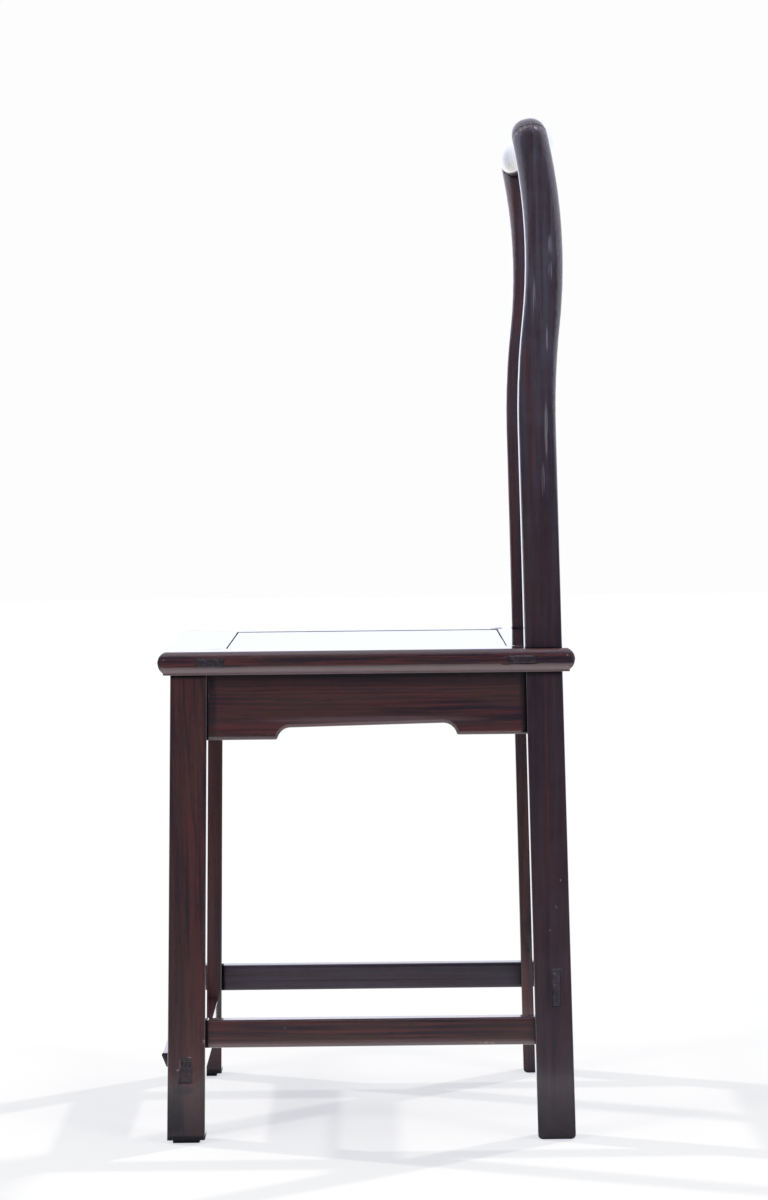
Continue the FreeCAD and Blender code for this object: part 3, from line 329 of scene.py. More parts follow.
class Wire:
    """A node's output that takes part in sums, so that maths on it reads as maths."""

    def __init__(self, nodes, socket):
        self.nodes = nodes
        self.socket = socket

    def out(self, name):
        """Another output of the same node."""
        return Wire(self.nodes, self.socket.node.outputs[name])

    def math(self, operation, *others):
        """A Math node on this value and up to two more."""
        return self.nodes.math(operation, self, *others)

    def __add__(self, other):
        return self.math("ADD", other)

    def __radd__(self, other):
        return self.nodes.math("ADD", other, self)

    def __sub__(self, other):
        return self.math("SUBTRACT", other)

    def __rsub__(self, other):
        return self.nodes.math("SUBTRACT", other, self)

    def __mul__(self, other):
        return self.math("MULTIPLY", other)

    def __rmul__(self, other):
        return self.nodes.math("MULTIPLY", other, self)

    def __rtruediv__(self, other):
        return self.nodes.math("DIVIDE", other, self)

    def step(self, low, high):
        """A soft step from 0 at low to 1 at high."""
        return self.nodes.soft_step(self, low, high)


class Nodes:
    """Builds one node tree, of a material, the world or Geometry Nodes."""

    def __init__(self, tree):
        self.tree = tree
        tree.nodes.clear()

    def add(self, kind, settings, values, output=0):
        """A node of a kind: its settings first, then the values or wires of its sockets."""
        node = self.tree.nodes.new(kind)
        for name, setting in settings.items():
            setattr(node, name, setting)
        for key, value in values.items():
            if isinstance(value, Wire):
                self.tree.links.new(value.socket, node.inputs[key])
            else:
                node.inputs[key].default_value = value
        return Wire(self, node.outputs[output]) if node.outputs else None

    def math(self, operation, *terms):
        """One Math node, its terms numbers or wires."""
        kind = "ShaderNodeMath"
        return self.add(kind, {"operation": operation}, dict(enumerate(terms)))

    def soft_step(self, value, low, high):
        """0 below low, 1 above high, and smooth between them."""
        settings = {"interpolation_type": "SMOOTHSTEP"}
        kind = "ShaderNodeMapRange"
        return self.add(kind, settings, {"Value": value, "From Min": low, "From Max": high})

    def stretch(self, vector, scale):
        """A vector times another, part by part."""
        return self.add("ShaderNodeVectorMath", {"operation": "MULTIPLY"}, {0: vector, 1: scale})

    def dot(self, first, second):
        """How alike two directions are, from -1 to 1."""
        settings = {"operation": "DOT_PRODUCT"}
        return self.add("ShaderNodeVectorMath", settings, {0: first, 1: second}, "Value")

    def noise(self, vector, scale, detail, roughness):
        """Soft noise from 0 to 1."""
        values = {"Vector": vector, "Scale": scale, "Detail": detail, "Roughness": roughness}
        return self.add("ShaderNodeTexNoise", {"noise_dimensions": "3D"}, values)

    def tint(self, share, first, second):
        """A colour between two others."""
        return self.add("ShaderNodeMix", {"data_type": "RGBA"}, {0: share, 6: first, 7: second}, 2)


def solid(colour):
    """A colour with its alpha."""
    return (*colour, 1.0)


@dataclass
class Finish:
    """How one member's wood differs from the next one's.

    grain is the axis along which it runs, and pith shifts its pattern from the middle of the log.
    film is old wax and dust all over under a painted bluish sheen, and wax_and_sheen_top more of both
    high up. scuffed_to is the height up to which the foot is scuffed, foot the radius of its rounded
    rim, worn how far the corners are worn, and mirror_from the facing value at which the polish
    begins to mirror.
    """

    grain: str
    pith: tuple
    warmth: float = 0.4
    wax_and_sheen: float = 0.1
    wax_and_sheen_top: float = 0.0
    scuffed_to: float = 0.0
    worn: float = 0.3
    foot: float = 0.0
    gloss: float = 1.0
    mirror_from: float = 0.82
    marks: tuple = ()


def wood_space(nodes, finish):
    """The place on a member, turned so that Z runs along the grain, measured from the pith."""
    place = nodes.add("ShaderNodeTexCoord", {}, {}, "Object")
    values = {"Vector": place, "Location": finish.pith, "Rotation": GRAIN_TURN[finish.grain]}
    return place, nodes.add("ShaderNodeMapping", {}, values)


def growth_bands(nodes, spot):
    """The bands that the year rings leave on a face, as warped shells round the pith."""
    wander = nodes.noise(nodes.stretch(spot, RING_WANDER), 1.0, 2.0, 0.5)
    ripple = nodes.noise(nodes.stretch(spot, RING_RIPPLE), 1.0, 2.0, 0.5)
    parts = nodes.add("ShaderNodeSeparateXYZ", {}, {0: spot}, "X")
    side = parts.out("Y")
    radius = (parts * parts + side * side).math("SQRT")
    radius = radius + wander * WANDER_DEPTH + ripple * RIPPLE_DEPTH
    settings = {"noise_dimensions": "1D"}
    values = {"W": radius * RINGS, "Scale": 1.0, "Detail": 2.5, "Roughness": 0.6}
    return nodes.add("ShaderNodeTexNoise", settings, values)


def marked(nodes, place, marks, kind):
    """How strongly the listed marks of one kind lie on a spot."""
    total = nodes.add("ShaderNodeValue", {}, {})
    for mark_kind, centre, reach in marks:
        if mark_kind == kind:
            away = nodes.add("ShaderNodeVectorMath", {"operation": "SUBTRACT"}, {0: place, 1: centre})
            shares = tuple(1.0 / length for length in reach)
            away = nodes.stretch(away, shares)
            length = nodes.add("ShaderNodeVectorMath", {"operation": "LENGTH"}, {0: away}, "Value")
            total = (1.0 - length.step(0.35, 1.0)) + total
    return total


def grain_colour(nodes, spot, finish, look):
    """Dark, brown and red streaks along the grain, and how fine the fibres lie and where pores open."""
    rings = growth_bands(nodes, spot).step(0.34, 0.66)
    broad = nodes.noise(nodes.stretch(spot, BROAD_FIGURE), 1.0, 3.0, 0.55).step(0.34, 0.66)
    streak = nodes.noise(nodes.stretch(spot, COLOUR_STREAKS), 1.0, 3.0, 0.6).step(0.40, 0.62)
    fibre = nodes.noise(nodes.stretch(spot, FIBRES), 1.0, 2.0, 0.6)
    pore = nodes.noise(nodes.stretch(spot, PORES), 1.0, 1.0, 0.5).step(0.62, 0.72)
    figure = rings * 0.55 + streak * 0.55 + broad * 0.60 + fibre.step(0.3, 0.7) * 0.30
    warm = (1.0 + (figure - 1.0) * FIGURE_CONTRAST) * finish.warmth
    warm = warm.math("MINIMUM", 1.0).math("MAXIMUM", 0.0)
    colour = nodes.tint(warm, solid(look.dark), solid(look.red))
    brown = nodes.noise(nodes.stretch(spot, BROWN_PATCHES), 1.0, 2.0, 0.5).step(0.36, 0.60)
    colour = nodes.tint(brown * (0.15 + finish.warmth * 0.7), colour, solid(look.brown))
    return nodes.tint(pore * 0.6, colour, solid(look.dirt_and_shade)), fibre, pore


def end_grain_share(nodes, normal, grain):
    """Where a face cuts across the grain, from 0 to 1."""
    along = nodes.dot(normal, tuple(AXIS_VECTOR[grain]))
    return along.math("ABSOLUTE").step(0.50, 0.80)


def drying_cracks(nodes, place, blotch):
    """Fine cracks between irregular cells, in some spots only."""
    values = {"Vector": place, "Scale": CRACKS, "Randomness": 1.0}
    cell = nodes.add("ShaderNodeTexVoronoi", {"feature": "DISTANCE_TO_EDGE"}, values, "Distance")
    return (1.0 - cell.step(0.0, 0.05)) * blotch.step(0.42, 0.58)


def corner_turn(nodes, normal):
    """How far the surface turns within a few millimetres of a spot, 0 on a flat face."""
    soft_normal = nodes.add("ShaderNodeBevel", {"samples": 8}, {"Radius": CORNER_REACH})
    return 1.0 - nodes.dot(soft_normal, normal)


def old_wax_and_sheen(nodes, place, spot, blotch, grit, finish):
    """How thickly old wax and dust lie under a painted bluish sheen, and how far a spot lies in the
    scuffed foot.
    """
    drift = nodes.noise(nodes.stretch(spot, WAX_AND_SHEEN_DRIFT), 1.0, 3.0, 0.6).step(0.36, 0.66)
    height = nodes.add("ShaderNodeSeparateXYZ", {}, {0: place}, "Z")
    low = 0.0
    wax_and_sheen = finish.wax_and_sheen + height.step(*WAX_AND_SHEEN_RISE) * finish.wax_and_sheen_top
    wax_and_sheen = (blotch.step(0.32, 0.72) * 0.5 + drift * 0.9 + 0.3) * wax_and_sheen
    if finish.scuffed_to > 0.0:
        low_end, high_end = finish.scuffed_to * 0.35, finish.scuffed_to + SCUFF_FADE
        low = 1.0 - (height + blotch * 0.05).step(low_end, high_end)
        wax_and_sheen = wax_and_sheen + low * (0.03 + grit.step(0.35, 0.7) * 0.12)
    return wax_and_sheen.math("MINIMUM", 0.9), low


def marked_over(nodes, colour, place, spot, blotch, finish, look):
    """Lays a member's red streaks, scuffs and painted light bands over a colour; on the far post the red
    streaks are painted light as well.
    """
    streak = nodes.noise(nodes.stretch(spot, SCUFF_STREAKS), 1.0, 2.0, 0.5)
    red = marked(nodes, place, finish.marks, "red") * (0.2 + streak.step(0.42, 0.60) * 0.45)
    colour = nodes.tint(red.math("MINIMUM", 0.9), colour, solid(look.red))
    scuff = marked(nodes, place, finish.marks, "scuff") * streak.step(0.40, 0.58)
    colour = nodes.tint(scuff.math("MINIMUM", 0.62), colour, solid(look.scuff))
    # Painted light: pale bands where roundings face the floor or the light.
    painted_light_band = marked(nodes, place, finish.marks, "painted_light_band") * (0.26 + blotch * 0.18)
    return nodes.tint(painted_light_band.math("MINIMUM", 0.8), colour, solid(look.painted_light_band))


def dirt_and_shade_share(nodes, place, blotch, low, finish):
    """How dark a spot is made: grime and painted shade in joints and crevices, grime low on the feet,
    and the stains, among them a painted shadow.
    """
    # Ambient occlusion: grime and painted shade in joints and crevices.
    open_share = nodes.add("ShaderNodeAmbientOcclusion", {"samples": 8}, {"Distance": DIRT_AND_SHADE_REACH}, "AO")
    dirt_and_shade = 1.0 - open_share.step(0.30, 0.86) + low * (0.45 + blotch.step(0.35, 0.6) * 0.4)
    # Stains, and the painted shadow under the seat rail.
    dirt_and_shade = dirt_and_shade + marked(nodes, place, finish.marks, "stain_and_shadow") * (0.5 + blotch * 0.4)
    return (dirt_and_shade * 0.8).math("MINIMUM", 0.92)


def polished(nodes, wood_shader, end_grain, finish, look):
    """Turns the wood into a mirror where it is seen at a grazing angle, but not on its end grain."""
    facing = nodes.add("ShaderNodeLayerWeight", {}, {"Blend": 0.5}, "Facing")
    values = {"Base Color": solid(look.shine), "Metallic": 1.0, "Roughness": 0.06}
    shine = nodes.add("ShaderNodeBsdfPrincipled", {}, values)
    grazing = facing.step(finish.mirror_from, MIRROR_FULL) * (1.0 - end_grain)
    return nodes.add("ShaderNodeMixShader", {}, {0: grazing, 1: wood_shader, 2: shine})


def wood(name, finish):
    """Dark oiled hardwood: streaked grain, pores, worn corners, grime and painted shade in the joints,
    painted shade beside the corners, painted light bands, and dull old wax under a painted sheen.
    """
    look = bpy.context.scene.chair_wood
    material = bpy.data.materials.new(name)
    material.use_nodes = True
    nodes = Nodes(material.node_tree)
    place, spot = wood_space(nodes, finish)
    normal = nodes.add("ShaderNodeNewGeometry", {}, {}, "Normal")
    blotch = nodes.noise(place, BLOTCHES, 4.0, 0.6)
    grit = nodes.noise(place, GRIT, 3.0, 0.65)
    mottle = nodes.noise(place, MOTTLE, 3.0, 0.6).step(0.40, 0.58)

    colour, fibre, pore = grain_colour(nodes, spot, finish, look)
    end_grain = end_grain_share(nodes, normal, finish.grain)
    end_dark = end_grain * (0.40 + mottle * 0.55)
    colour = nodes.tint(end_dark, colour, solid(look.dirt_and_shade))
    turned = corner_turn(nodes, normal)
    # Painted shade: the wood darkens beside every corner.
    painted_corner_shade = turned.step(0.004, 0.10) * (0.45 + blotch.step(0.3, 0.6) * 0.45)
    colour = nodes.tint(painted_corner_shade, colour, solid(look.edge))
    wax_and_sheen, low = old_wax_and_sheen(nodes, place, spot, blotch, grit, finish)
    # Old wax and dust over the wood, with a painted bluish sheen.
    colour = nodes.tint(wax_and_sheen, colour, solid(look.wax_and_sheen))
    colour = marked_over(nodes, colour, place, spot, blotch, finish, look)

    rubbed = turned.step(0.14, 0.27) * (blotch * 0.6 + grit * 0.4).step(0.44, 0.60)
    chipped = marked(nodes, place, finish.marks, "bare") * grit.step(0.42, 0.55)
    crack = drying_cracks(nodes, place, blotch) * end_grain
    bare = (rubbed * 0.38 + chipped * 0.85 + crack * 0.32).math("MINIMUM", 1.0)
    colour = nodes.tint(bare, colour, solid(look.bare))
    dirt_and_shade = dirt_and_shade_share(nodes, place, blotch, low, finish)
    # Grime, stains, painted shade and a painted shadow darken the wood.
    colour = nodes.tint(dirt_and_shade, colour, solid(look.dirt_and_shade))

    roughness = 0.26 + blotch * 0.10 + wax_and_sheen * 0.12 + bare * 0.25
    roughness = roughness + (end_grain + dirt_and_shade + low) * 0.2
    coat = finish.gloss - wax_and_sheen * 0.5 - bare * 0.5 - end_grain * 0.6 - low * 0.9
    relief = fibre * 0.35 - pore * 0.9 + blotch * 1.2 - end_dark * grit * 1.2
    values = {"Strength": 0.35, "Distance": RELIEF_DEPTH, "Height": relief}
    bump = nodes.add("ShaderNodeBump", {}, values)
    values = {
        "Base Color": colour,
        "Roughness": roughness.math("MINIMUM", 0.9),
        "Normal": bump,
        "Coat Weight": coat.math("MAXIMUM", 0.0),
        "Coat Roughness": 0.09,
        "Specular IOR Level": 0.2 + 0.3 * finish.gloss,
    }
    shader = nodes.add("ShaderNodeBsdfPrincipled", {}, values)
    mixed = polished(nodes, shader, end_grain, finish, look)
    nodes.add("ShaderNodeOutputMaterial", {}, {"Surface": mixed})
    return material


def worn_corners_tree():
    """Geometry Nodes that wear the corners of a member back, here and there, by a seeded noise."""
    tree = bpy.data.node_groups.new("worn_corners", "GeometryNodeTree")
    face = tree.interface
    face.new_socket("Geometry", in_out="INPUT", socket_type="NodeSocketGeometry")
    face.new_socket("Worn depth", in_out="INPUT", socket_type="NodeSocketFloat")
    face.new_socket("Worn patch", in_out="INPUT", socket_type="NodeSocketFloat")
    face.new_socket("Seed", in_out="INPUT", socket_type="NodeSocketFloat")
    face.new_socket("Wood", in_out="INPUT", socket_type="NodeSocketMaterial")
    face.new_socket("Geometry", in_out="OUTPUT", socket_type="NodeSocketGeometry")
    nodes = Nodes(tree)
    given = nodes.add("NodeGroupInput", {}, {}, "Geometry")
    angle = nodes.add("GeometryNodeInputMeshEdgeAngle", {}, {}, "Unsigned Angle")
    corner = angle.step(WEAR_FROM_ANGLE, FULL_WEAR_ANGLE)
    values = {"W": given.out("Seed"), "Scale": 1.0 / given.out("Worn patch"), "Detail": 2.0}
    patch = nodes.add("ShaderNodeTexNoise", {"noise_dimensions": "4D"}, values)
    depth = patch.step(0.45, 0.80) * corner * given.out("Worn depth")
    normal = nodes.add("GeometryNodeInputNormal", {}, {}, "Normal")
    settings = {"operation": "SCALE"}
    inward = nodes.add("ShaderNodeVectorMath", settings, {0: normal, "Scale": depth * -1.0})
    worn = nodes.add("GeometryNodeSetPosition", {}, {"Geometry": given, "Offset": inward})
    whole = nodes.add("GeometryNodeRealizeInstances", {}, {"Geometry": worn})
    values = {"Geometry": whole, "Material": given.out("Wood")}
    finished = nodes.add("GeometryNodeSetMaterial", {}, values)
    nodes.add("NodeGroupOutput", {}, {"Geometry": finished})
    return tree


def set_input(modifier, name, value):
    """Sets a Geometry Nodes modifier's input by the socket's identifier."""
    for item in modifier.node_group.interface.items_tree:
        if item.name == name and item.in_out == "INPUT":
            modifier[item.identifier] = value
            return
    raise ValueError(f"the tree has no input {name}")


def merged_copy(node_name):
    """A node's solid with shared corners, its flat stretches joined and its slivers gone."""
    shape = bmesh.new()
    shape.from_mesh(frame["nodes"][node_name].data)
    bmesh.ops.remove_doubles(shape, verts=shape.verts[:], dist=MERGE_REACH)
    bmesh.ops.dissolve_degenerate(shape, edges=shape.edges[:], dist=SHORTEST_EDGE)
    bmesh.ops.dissolve_limit(
        shape, angle_limit=FLAT_ANGLE, verts=shape.verts[:], edges=shape.edges[:], delimit=set())
    return shape


def slice_along(shape, axis, step):
    """Cuts the faces across the grain at even steps, so that the corners can wear unevenly."""
    direction = AXIS_VECTOR[axis]
    places = [vert.co.dot(direction) for vert in shape.verts]
    first = min(places)
    count = int((max(places) - first) / step)
    for number in range(1, count + 1):
        geometry = shape.verts[:] + shape.edges[:] + shape.faces[:]
        point = direction * (first + number * step)
        bmesh.ops.bisect_plane(shape, geom=geometry, plane_co=point, plane_no=direction)


def round_foot(shape, radius):
    """Rounds the rim of a foot that stands on the floor."""
    up = AXIS_VECTOR["Z"]
    for number in range(FOOT_STEPS):
        height = radius * (1.0 - math.cos(math.pi / 2 * (number + 0.5) / FOOT_STEPS))
        geometry = shape.verts[:] + shape.edges[:] + shape.faces[:]
        bmesh.ops.bisect_plane(shape, geom=geometry, plane_co=up * height, plane_no=up)
    low = [vert for vert in shape.verts if vert.co.z < radius]
    for axis in (0, 1):
        places = [vert.co[axis] for vert in low]
        middle, half = (max(places) + min(places)) / 2, (max(places) - min(places)) / 2
        for vert in low:
            inset = radius - math.sqrt(max(radius ** 2 - (radius - vert.co.z) ** 2, 0.0))
            vert.co[axis] = middle + (vert.co[axis] - middle) * (1.0 - inset / half)


def corner_weights(shape):
    """Gives each sharp outer corner that is long enough its weight for the bevel."""
    layer = shape.edges.layers.float.new("bevel_weight_edge")
    for edge in shape.edges:
        if len(edge.link_faces) != 2 or edge.calc_face_angle_signed() < SHARP_ANGLE:
            continue
        around = [other for vert in edge.verts for other in vert.link_edges]
        if min(other.calc_length() for other in around) > SHORTEST_CORNER:
            edge[layer] = 1.0


def plain_mesh(piece):
    """Turns a piece's modifiers into a plain mesh."""
    evaluated = piece.evaluated_get(bpy.context.evaluated_depsgraph_get())
    mesh = bpy.data.meshes.new_from_object(evaluated)
    piece.modifiers.clear()
    piece.data = mesh


def dress(node_name, finish, seed):
    """Makes the piece that stands for a node: softened, worn corners and its own wood."""
    look = bpy.context.scene.chair_wood
    shape = merged_copy(node_name)
    slice_along(shape, finish.grain, look.slice)
    if finish.foot > 0.0:
        round_foot(shape, finish.foot)
    corner_weights(shape)
    mesh = bpy.data.meshes.new(f"{node_name}_worn")
    shape.to_mesh(mesh)
    shape.free()
    piece = bpy.data.objects.new(f"{node_name}_worn", mesh)
    bpy.context.collection.objects.link(piece)
    for face in mesh.polygons:
        face.use_smooth = True
    bevel = piece.modifiers.new("soft_corners", "BEVEL")
    bevel.width = look.arris
    bevel.segments = 2
    bevel.limit_method = "WEIGHT"
    bevel.use_clamp_overlap = False
    wear = piece.modifiers.new("worn_corners", "NODES")
    wear.node_group = bpy.data.node_groups.get("worn_corners") or worn_corners_tree()
    set_input(wear, "Worn depth", look.worn_depth * finish.worn)
    set_input(wear, "Worn patch", look.worn_patch)
    set_input(wear, "Seed", float(seed))
    set_input(wear, "Wood", wood(f"wood_{node_name}", finish))
    flat = piece.modifiers.new("flat_faces", "WEIGHTED_NORMAL")
    flat.keep_sharp = True
    plain_mesh(piece)
    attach(piece, "root")
    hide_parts(node_name)


def seam_marks():
    """The worn strip along the mitre at the crest's end, as small marks on an arch."""
    marks = []
    for number in range(SEAM_MARKS):
        turn = math.pi * number / (SEAM_MARKS - 1)
        y = SEAM_CENTRE.y + SEAM_RADIUS * math.cos(turn)
        z = SEAM_CENTRE.z + SEAM_RADIUS * math.sin(turn)
        marks.append(("bare", (SEAM_CENTRE.x, y, z), SEAM_MARK_REACH))
    return tuple(marks)


class CHAIR_OT_dress_back_posts(bpy.types.Operator):
    """Dress the two back posts, each one piece with its rear leg"""

    bl_idname = "chair.dress_back_posts"
    bl_label = "Back posts"

    def execute(self, context):
        piths = {"left": (0.06, 0.05, 0.3), "right": (0.05, -0.09, 0.7)}
        warmth = {"left": 0.16, "right": 0.55}
        wax_and_sheen_top = {"left": 0.46, "right": 0.25}
        for seed, side in enumerate(SIDES, start=1):
            marks = POST_MARKS + seam_marks() if side == "left" else FAR_POST_MARKS
            finish = Finish("Z", piths[side], warmth=warmth[side], wax_and_sheen=0.11, wax_and_sheen_top=wax_and_sheen_top[side],
                            foot=0.005, scuffed_to=0.08, marks=marks)
            dress(f"back_post_{side}", finish, seed)
        return {"FINISHED"}


class CHAIR_OT_dress_front_legs(bpy.types.Operator):
    """Dress the two front legs"""

    bl_idname = "chair.dress_front_legs"
    bl_label = "Front legs"

    def execute(self, context):
        piths = {"left": (0.03, 0.11, 0.0), "right": (0.04, 0.08, 0.4)}
        for seed, side in enumerate(SIDES, start=11):
            marks = LEG_MARKS if side == "left" else ()
            finish = Finish("Z", piths[side], warmth=0.46, wax_and_sheen=0.03, scuffed_to=0.08, marks=marks)
            dress(f"front_leg_{side}", finish, seed)
        return {"FINISHED"}


class CHAIR_OT_dress_crest_rail(bpy.types.Operator):
    """Dress the crest rail that joins the post tops"""

    bl_idname = "chair.dress_crest_rail"
    bl_label = "Crest rail"

    def execute(self, context):
        finish = Finish("X", (1.03, 0.24, 0.1), warmth=0.2, wax_and_sheen=0.3, mirror_from=0.70,
                        marks=seam_marks())
        dress("crest_rail", finish, 21)
        return {"FINISHED"}


class CHAIR_OT_dress_back_splat(bpy.types.Operator):
    """Dress the curved board in the middle of the back"""

    bl_idname = "chair.dress_back_splat"
    bl_label = "Back splat"

    def execute(self, context):
        dress("back_splat", Finish("Z", (0.02, -0.07, 0.2), warmth=0.45, wax_and_sheen=0.1), 31)
        return {"FINISHED"}


class CHAIR_OT_dress_seat_frame(bpy.types.Operator):
    """Dress the four mitred rails of the seat"""

    bl_idname = "chair.dress_seat_frame"
    bl_label = "Seat frame"

    def execute(self, context):
        for seed, side in enumerate(SIDES, start=41):
            marks = SEAT_MARKS if side == "left" else ()
            finish = Finish("Y", (-0.16, -0.42, 0.3), warmth=0.92, wax_and_sheen=0.05, marks=marks)
            dress(f"seat_{side}_rail", finish, seed)
        for seed, end in enumerate(("front", "rear"), start=43):
            dress(f"seat_{end}_rail", Finish("X", (0.44, 0.13, 0.3), warmth=0.42, wax_and_sheen=0.12), seed)
        return {"FINISHED"}


class CHAIR_OT_dress_seat_panel(bpy.types.Operator):
    """Dress the floating seat panel and the batten under it"""

    bl_idname = "chair.dress_seat_panel"
    bl_label = "Seat panel"

    def execute(self, context):
        dress("seat_panel", Finish("X", (0.52, 0.05, 0.3), warmth=0.45, wax_and_sheen=0.1), 51)
        dress("seat_batten", Finish("Y", (-0.03, -0.42, 0.1), warmth=0.35, wax_and_sheen=0.25), 52)
        return {"FINISHED"}


class CHAIR_OT_dress_aprons(bpy.types.Operator):
    """Dress the shaped aprons under the seat"""

    bl_idname = "chair.dress_aprons"
    bl_label = "Aprons"

    def execute(self, context):
        for seed, side in enumerate(SIDES, start=61):
            marks = APRON_MARKS if side == "left" else ()
            finish = Finish("Y", (-0.2, -0.34, 0.3), warmth=0.60, wax_and_sheen=0.05, marks=marks)
            dress(f"{side}_apron", finish, seed)
        for seed, end in enumerate(("front", "rear"), start=63):
            dress(f"{end}_apron", Finish("X", (0.4, 0.16, 0.1), warmth=0.45, wax_and_sheen=0.1), seed)
        return {"FINISHED"}


class CHAIR_OT_dress_stretchers(bpy.types.Operator):
    """Dress the footrest and the three stretchers"""

    bl_idname = "chair.dress_stretchers"
    bl_label = "Stretchers"

    def execute(self, context):
        near = Finish("Y", (-0.19, -0.06, 0.3), warmth=0.62, wax_and_sheen=0.02, marks=STRETCHER_MARKS)
        far = Finish("Y", (0.24, -0.05, 0.2), warmth=0.08, wax_and_sheen=0.28, worn=1.0, gloss=0.4,
                     marks=FAR_STRETCHER_MARKS)
        dress("left_stretcher", near, 71)
        dress("right_stretcher", far, 72)
        dress("rear_stretcher", Finish("X", (0.1, -0.16, 0.2), warmth=0.25, wax_and_sheen=0.25), 73)
        dress("front_footrest", Finish("X", (0.05, 0.14, 0.2), warmth=0.3, wax_and_sheen=0.06), 74)
        return {"FINISHED"}


def felt(name):
    """Dark pressed felt: short fibres in all directions and a rough nap."""
    look = bpy.context.scene.chair_felt
    material = bpy.data.materials.new(name)
    material.use_nodes = True
    nodes = Nodes(material.node_tree)
    place = nodes.add("ShaderNodeTexCoord", {}, {}, "Object")
    fibre = nodes.noise(nodes.stretch(place, FELT_FIBRES), 1.0, 4.0, 0.7)
    clump = nodes.noise(place, FELT_CLUMPS, 2.0, 0.5)
    light = tuple(part * 2.6 for part in look.felt)
    colour = nodes.tint(fibre.step(0.35, 0.7) * 0.6 + clump * 0.25, solid(look.felt), solid(light))
    values = {"Strength": 0.8, "Distance": look.nap, "Height": fibre + clump * 0.6}
    bump = nodes.add("ShaderNodeBump", {}, values)
    values = {"Base Color": colour, "Roughness": 0.95, "Normal": bump, "Specular IOR Level": 0.15}
    shader = nodes.add("ShaderNodeBsdfPrincipled", {}, values)
    nodes.add("ShaderNodeOutputMaterial", {}, {"Surface": shader})
    return material


class CHAIR_OT_dress_foot_pads(bpy.types.Operator):
    """Give the felt pads under the front feet their felt"""

    bl_idname = "chair.dress_foot_pads"
    bl_label = "Foot pads"

    def execute(self, context):
        for side in SIDES:
            pad = frame["nodes"][f"front_{side}_foot_pad"]
            pad.data.materials[0] = felt(f"felt_{side}")
        return {"FINISHED"}


def floor_level(studio):
    """The level of the light on open floor."""
    lamps = sum(getattr(studio, level) * Vector(place).normalized().z for _, place, level, _ in LAMPS)
    return studio.ambient + lamps


def floor_material(studio):
    """A white floor that keeps the chair's shadow and is bluish in it."""
    material = bpy.data.materials.new("studio_floor")
    material.use_nodes = True
    nodes = Nodes(material.node_tree)
    path = nodes.add("ShaderNodeLightPath", {}, {}, "Is Camera Ray")
    seen = path.math("MAXIMUM", path.out("Is Glossy Ray"))
    seen = seen.math("MAXIMUM", path.out("Is Transmission Ray"))
    lit_share = (1.0 - studio.floor_glow) * floor_level(studio)
    rest = []
    for white, paint in zip(studio.surround, studio.floor_paint):
        rest.append((white + studio.overshoot - paint * lit_share) / studio.floor_glow)
    paint = nodes.add("ShaderNodeBsdfDiffuse", {}, {"Color": solid(studio.floor_paint)})
    glow = nodes.add("ShaderNodeEmission", {}, {"Color": solid(rest), "Strength": 1.0})
    share = seen * studio.floor_glow
    mixed = nodes.add("ShaderNodeMixShader", {}, {0: share, 1: paint, 2: glow})
    nodes.add("ShaderNodeOutputMaterial", {}, {"Surface": mixed})
    return material


def make_floor(studio):
    """The pale floor that the chair stands on. It ends a short way from the chair's left side."""
    mesh = bpy.data.meshes.new("studio_floor")
    reach, front = FLOOR_REACH, FLOOR_FRONT
    rim = [(-reach, -reach, 0.0), (front, -reach, 0.0), (front, reach, 0.0), (-reach, reach, 0.0)]
    mesh.from_pydata(rim, [], [(0, 1, 2, 3)])
    floor = bpy.data.objects.new("studio_floor", mesh)
    mesh.materials.append(floor_material(studio))
    bpy.context.collection.objects.link(floor)


def make_surround(studio):
    """White for the eye, a half dark room with two windows for gloss, and an even light for the rest."""
    world = bpy.data.worlds.new("studio_surround")
    world.use_nodes = True
    nodes = Nodes(world.node_tree)
    path = nodes.add("ShaderNodeLightPath", {}, {}, "Is Camera Ray")
    direction = nodes.add("ShaderNodeTexCoord", {}, {}, "Generated")
    forward = nodes.add("ShaderNodeSeparateXYZ", {}, {0: direction}, "X")
    aside = forward.out("Y").math("ABSOLUTE")
    window = aside.step(0.26, 0.30) * (1.0 - aside.step(0.40, 0.44))
    window = window * forward.step(0.0, 0.06) * (1.0 - forward.step(0.26, 0.32))
    window = window * forward.out("Z").step(0.55, 0.65)
    glossy = path.out("Is Glossy Ray")
    room = (1.0 - forward.step(0.02, 0.60) * (1.0 - studio.dark_end)) * studio.gloss_level
    gloss = glossy * (room + window * studio.window_level)
    seen = path.math("MAXIMUM", path.out("Is Transmission Ray"))
    plain = 1.0 - seen.math("MAXIMUM", glossy)
    strength = seen + gloss + plain * studio.ambient
    colour = nodes.tint(glossy, solid(studio.surround), solid(studio.gloss_tint))
    values = {"Color": colour, "Strength": strength}
    background = nodes.add("ShaderNodeBackground", {}, values)
    nodes.add("ShaderNodeOutputWorld", {}, {"Surface": background})
    bpy.context.scene.world = world


def make_lamp(name, direction, level, spread):
    """A far lamp at a level at which white paint is that bright; it leaves no glare in the gloss."""
    light = bpy.data.lights.new(name, "SUN")
    light.energy = level * math.pi
    light.angle = math.radians(spread)
    lamp = bpy.data.objects.new(name, light)
    lamp.visible_glossy = False
    lamp.matrix_world = Vector(direction).to_track_quat("Z", "Y").to_matrix().to_4x4()
    bpy.context.collection.objects.link(lamp)


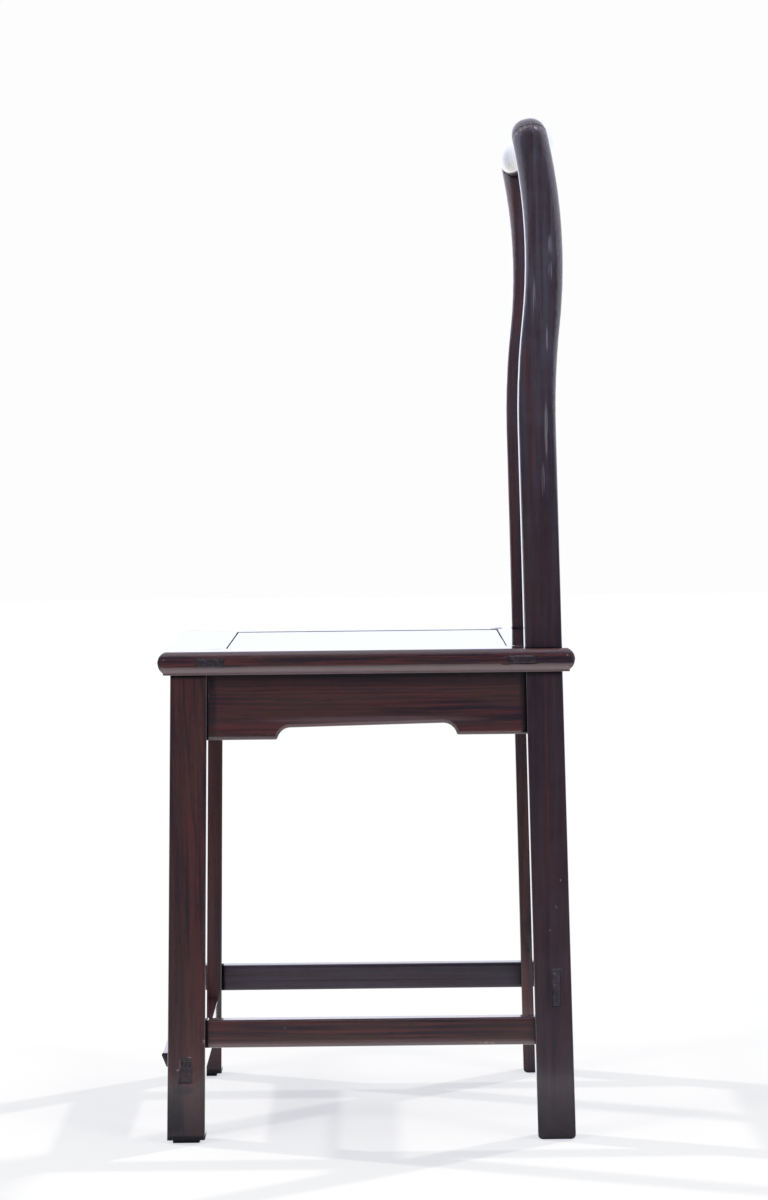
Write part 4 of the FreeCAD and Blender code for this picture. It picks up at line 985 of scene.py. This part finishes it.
def make_camera(studio):
    """The camera on the chair's left side, a little above the seat."""
    dip = studio.camera_dip
    look = Vector((-math.cos(dip), 0.0, -math.sin(dip)))
    level = look.cross(Vector((0, 0, 1))).normalized()
    upright = level.cross(look)
    roll = studio.camera_roll
    right = level * math.cos(roll) - upright * math.sin(roll)
    up = upright * math.cos(roll) + level * math.sin(roll)
    turn = Matrix((right, up, -look)).transposed().to_4x4()
    lens = bpy.data.cameras.new("studio_camera")
    lens.lens = studio.lens
    lens.clip_end = CAMERA_REACH
    camera = bpy.data.objects.new("studio_camera", lens)
    camera.matrix_world = Matrix.Translation(studio.camera_place) @ turn
    bpy.context.collection.objects.link(camera)
    bpy.context.scene.camera = camera


class CHAIR_OT_set_stage(bpy.types.Operator):
    """Set up the white floor, the lamps, the surround and the camera"""

    bl_idname = "chair.set_stage"
    bl_label = "Studio"

    def execute(self, context):
        studio = context.scene.chair_studio
        context.scene.view_settings.view_transform = "Standard"
        make_camera(studio)
        make_floor(studio)
        make_surround(studio)
        for name, place, level, spread in LAMPS:
            make_lamp(name, place, getattr(studio, level), spread)
        return {"FINISHED"}


PIECE_OPERATORS = (
    CHAIR_OT_dress_back_posts,
    CHAIR_OT_dress_front_legs,
    CHAIR_OT_dress_crest_rail,
    CHAIR_OT_dress_back_splat,
    CHAIR_OT_dress_seat_frame,
    CHAIR_OT_dress_seat_panel,
    CHAIR_OT_dress_aprons,
    CHAIR_OT_dress_stretchers,
    CHAIR_OT_dress_foot_pads,
)


class CHAIR_PT_sidebar(bpy.types.Panel):
    """The chair's pieces and its studio, in the order in which they are made"""

    bl_idname = "CHAIR_PT_sidebar"
    bl_label = "Hardwood chair"
    bl_space_type = "VIEW_3D"
    bl_region_type = "UI"
    bl_category = "Chair"

    def draw(self, context):
        for group in (context.scene.chair_wood, context.scene.chair_felt, context.scene.chair_studio):
            box = self.layout.box()
            for name in group.__annotations__:
                box.prop(group, name)
        for operator in (*PIECE_OPERATORS, CHAIR_OT_set_stage):
            self.layout.operator(operator.bl_idname)


CLASSES = (ChairWood, ChairFelt, ChairStudio, *PIECE_OPERATORS, CHAIR_OT_set_stage, CHAIR_PT_sidebar)


def register():
    """Adds the classes and the settings to Blender."""
    for item in CLASSES:
        bpy.utils.register_class(item)
    bpy.types.Scene.chair_wood = bpy.props.PointerProperty(type=ChairWood)
    bpy.types.Scene.chair_felt = bpy.props.PointerProperty(type=ChairFelt)
    bpy.types.Scene.chair_studio = bpy.props.PointerProperty(type=ChairStudio)


def unregister():
    """Takes the classes and the settings away again."""
    del bpy.types.Scene.chair_studio
    del bpy.types.Scene.chair_felt
    del bpy.types.Scene.chair_wood
    for item in reversed(CLASSES):
        bpy.utils.unregister_class(item)


def main():
    """Registers the classes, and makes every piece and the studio."""
    register()
    bpy.ops.chair.dress_back_posts()
    bpy.ops.chair.dress_front_legs()
    bpy.ops.chair.dress_crest_rail()
    bpy.ops.chair.dress_back_splat()
    bpy.ops.chair.dress_seat_frame()
    bpy.ops.chair.dress_seat_panel()
    bpy.ops.chair.dress_aprons()
    bpy.ops.chair.dress_stretchers()
    bpy.ops.chair.dress_foot_pads()
    bpy.ops.chair.set_stage()


if __name__ == "__main__":
    main()
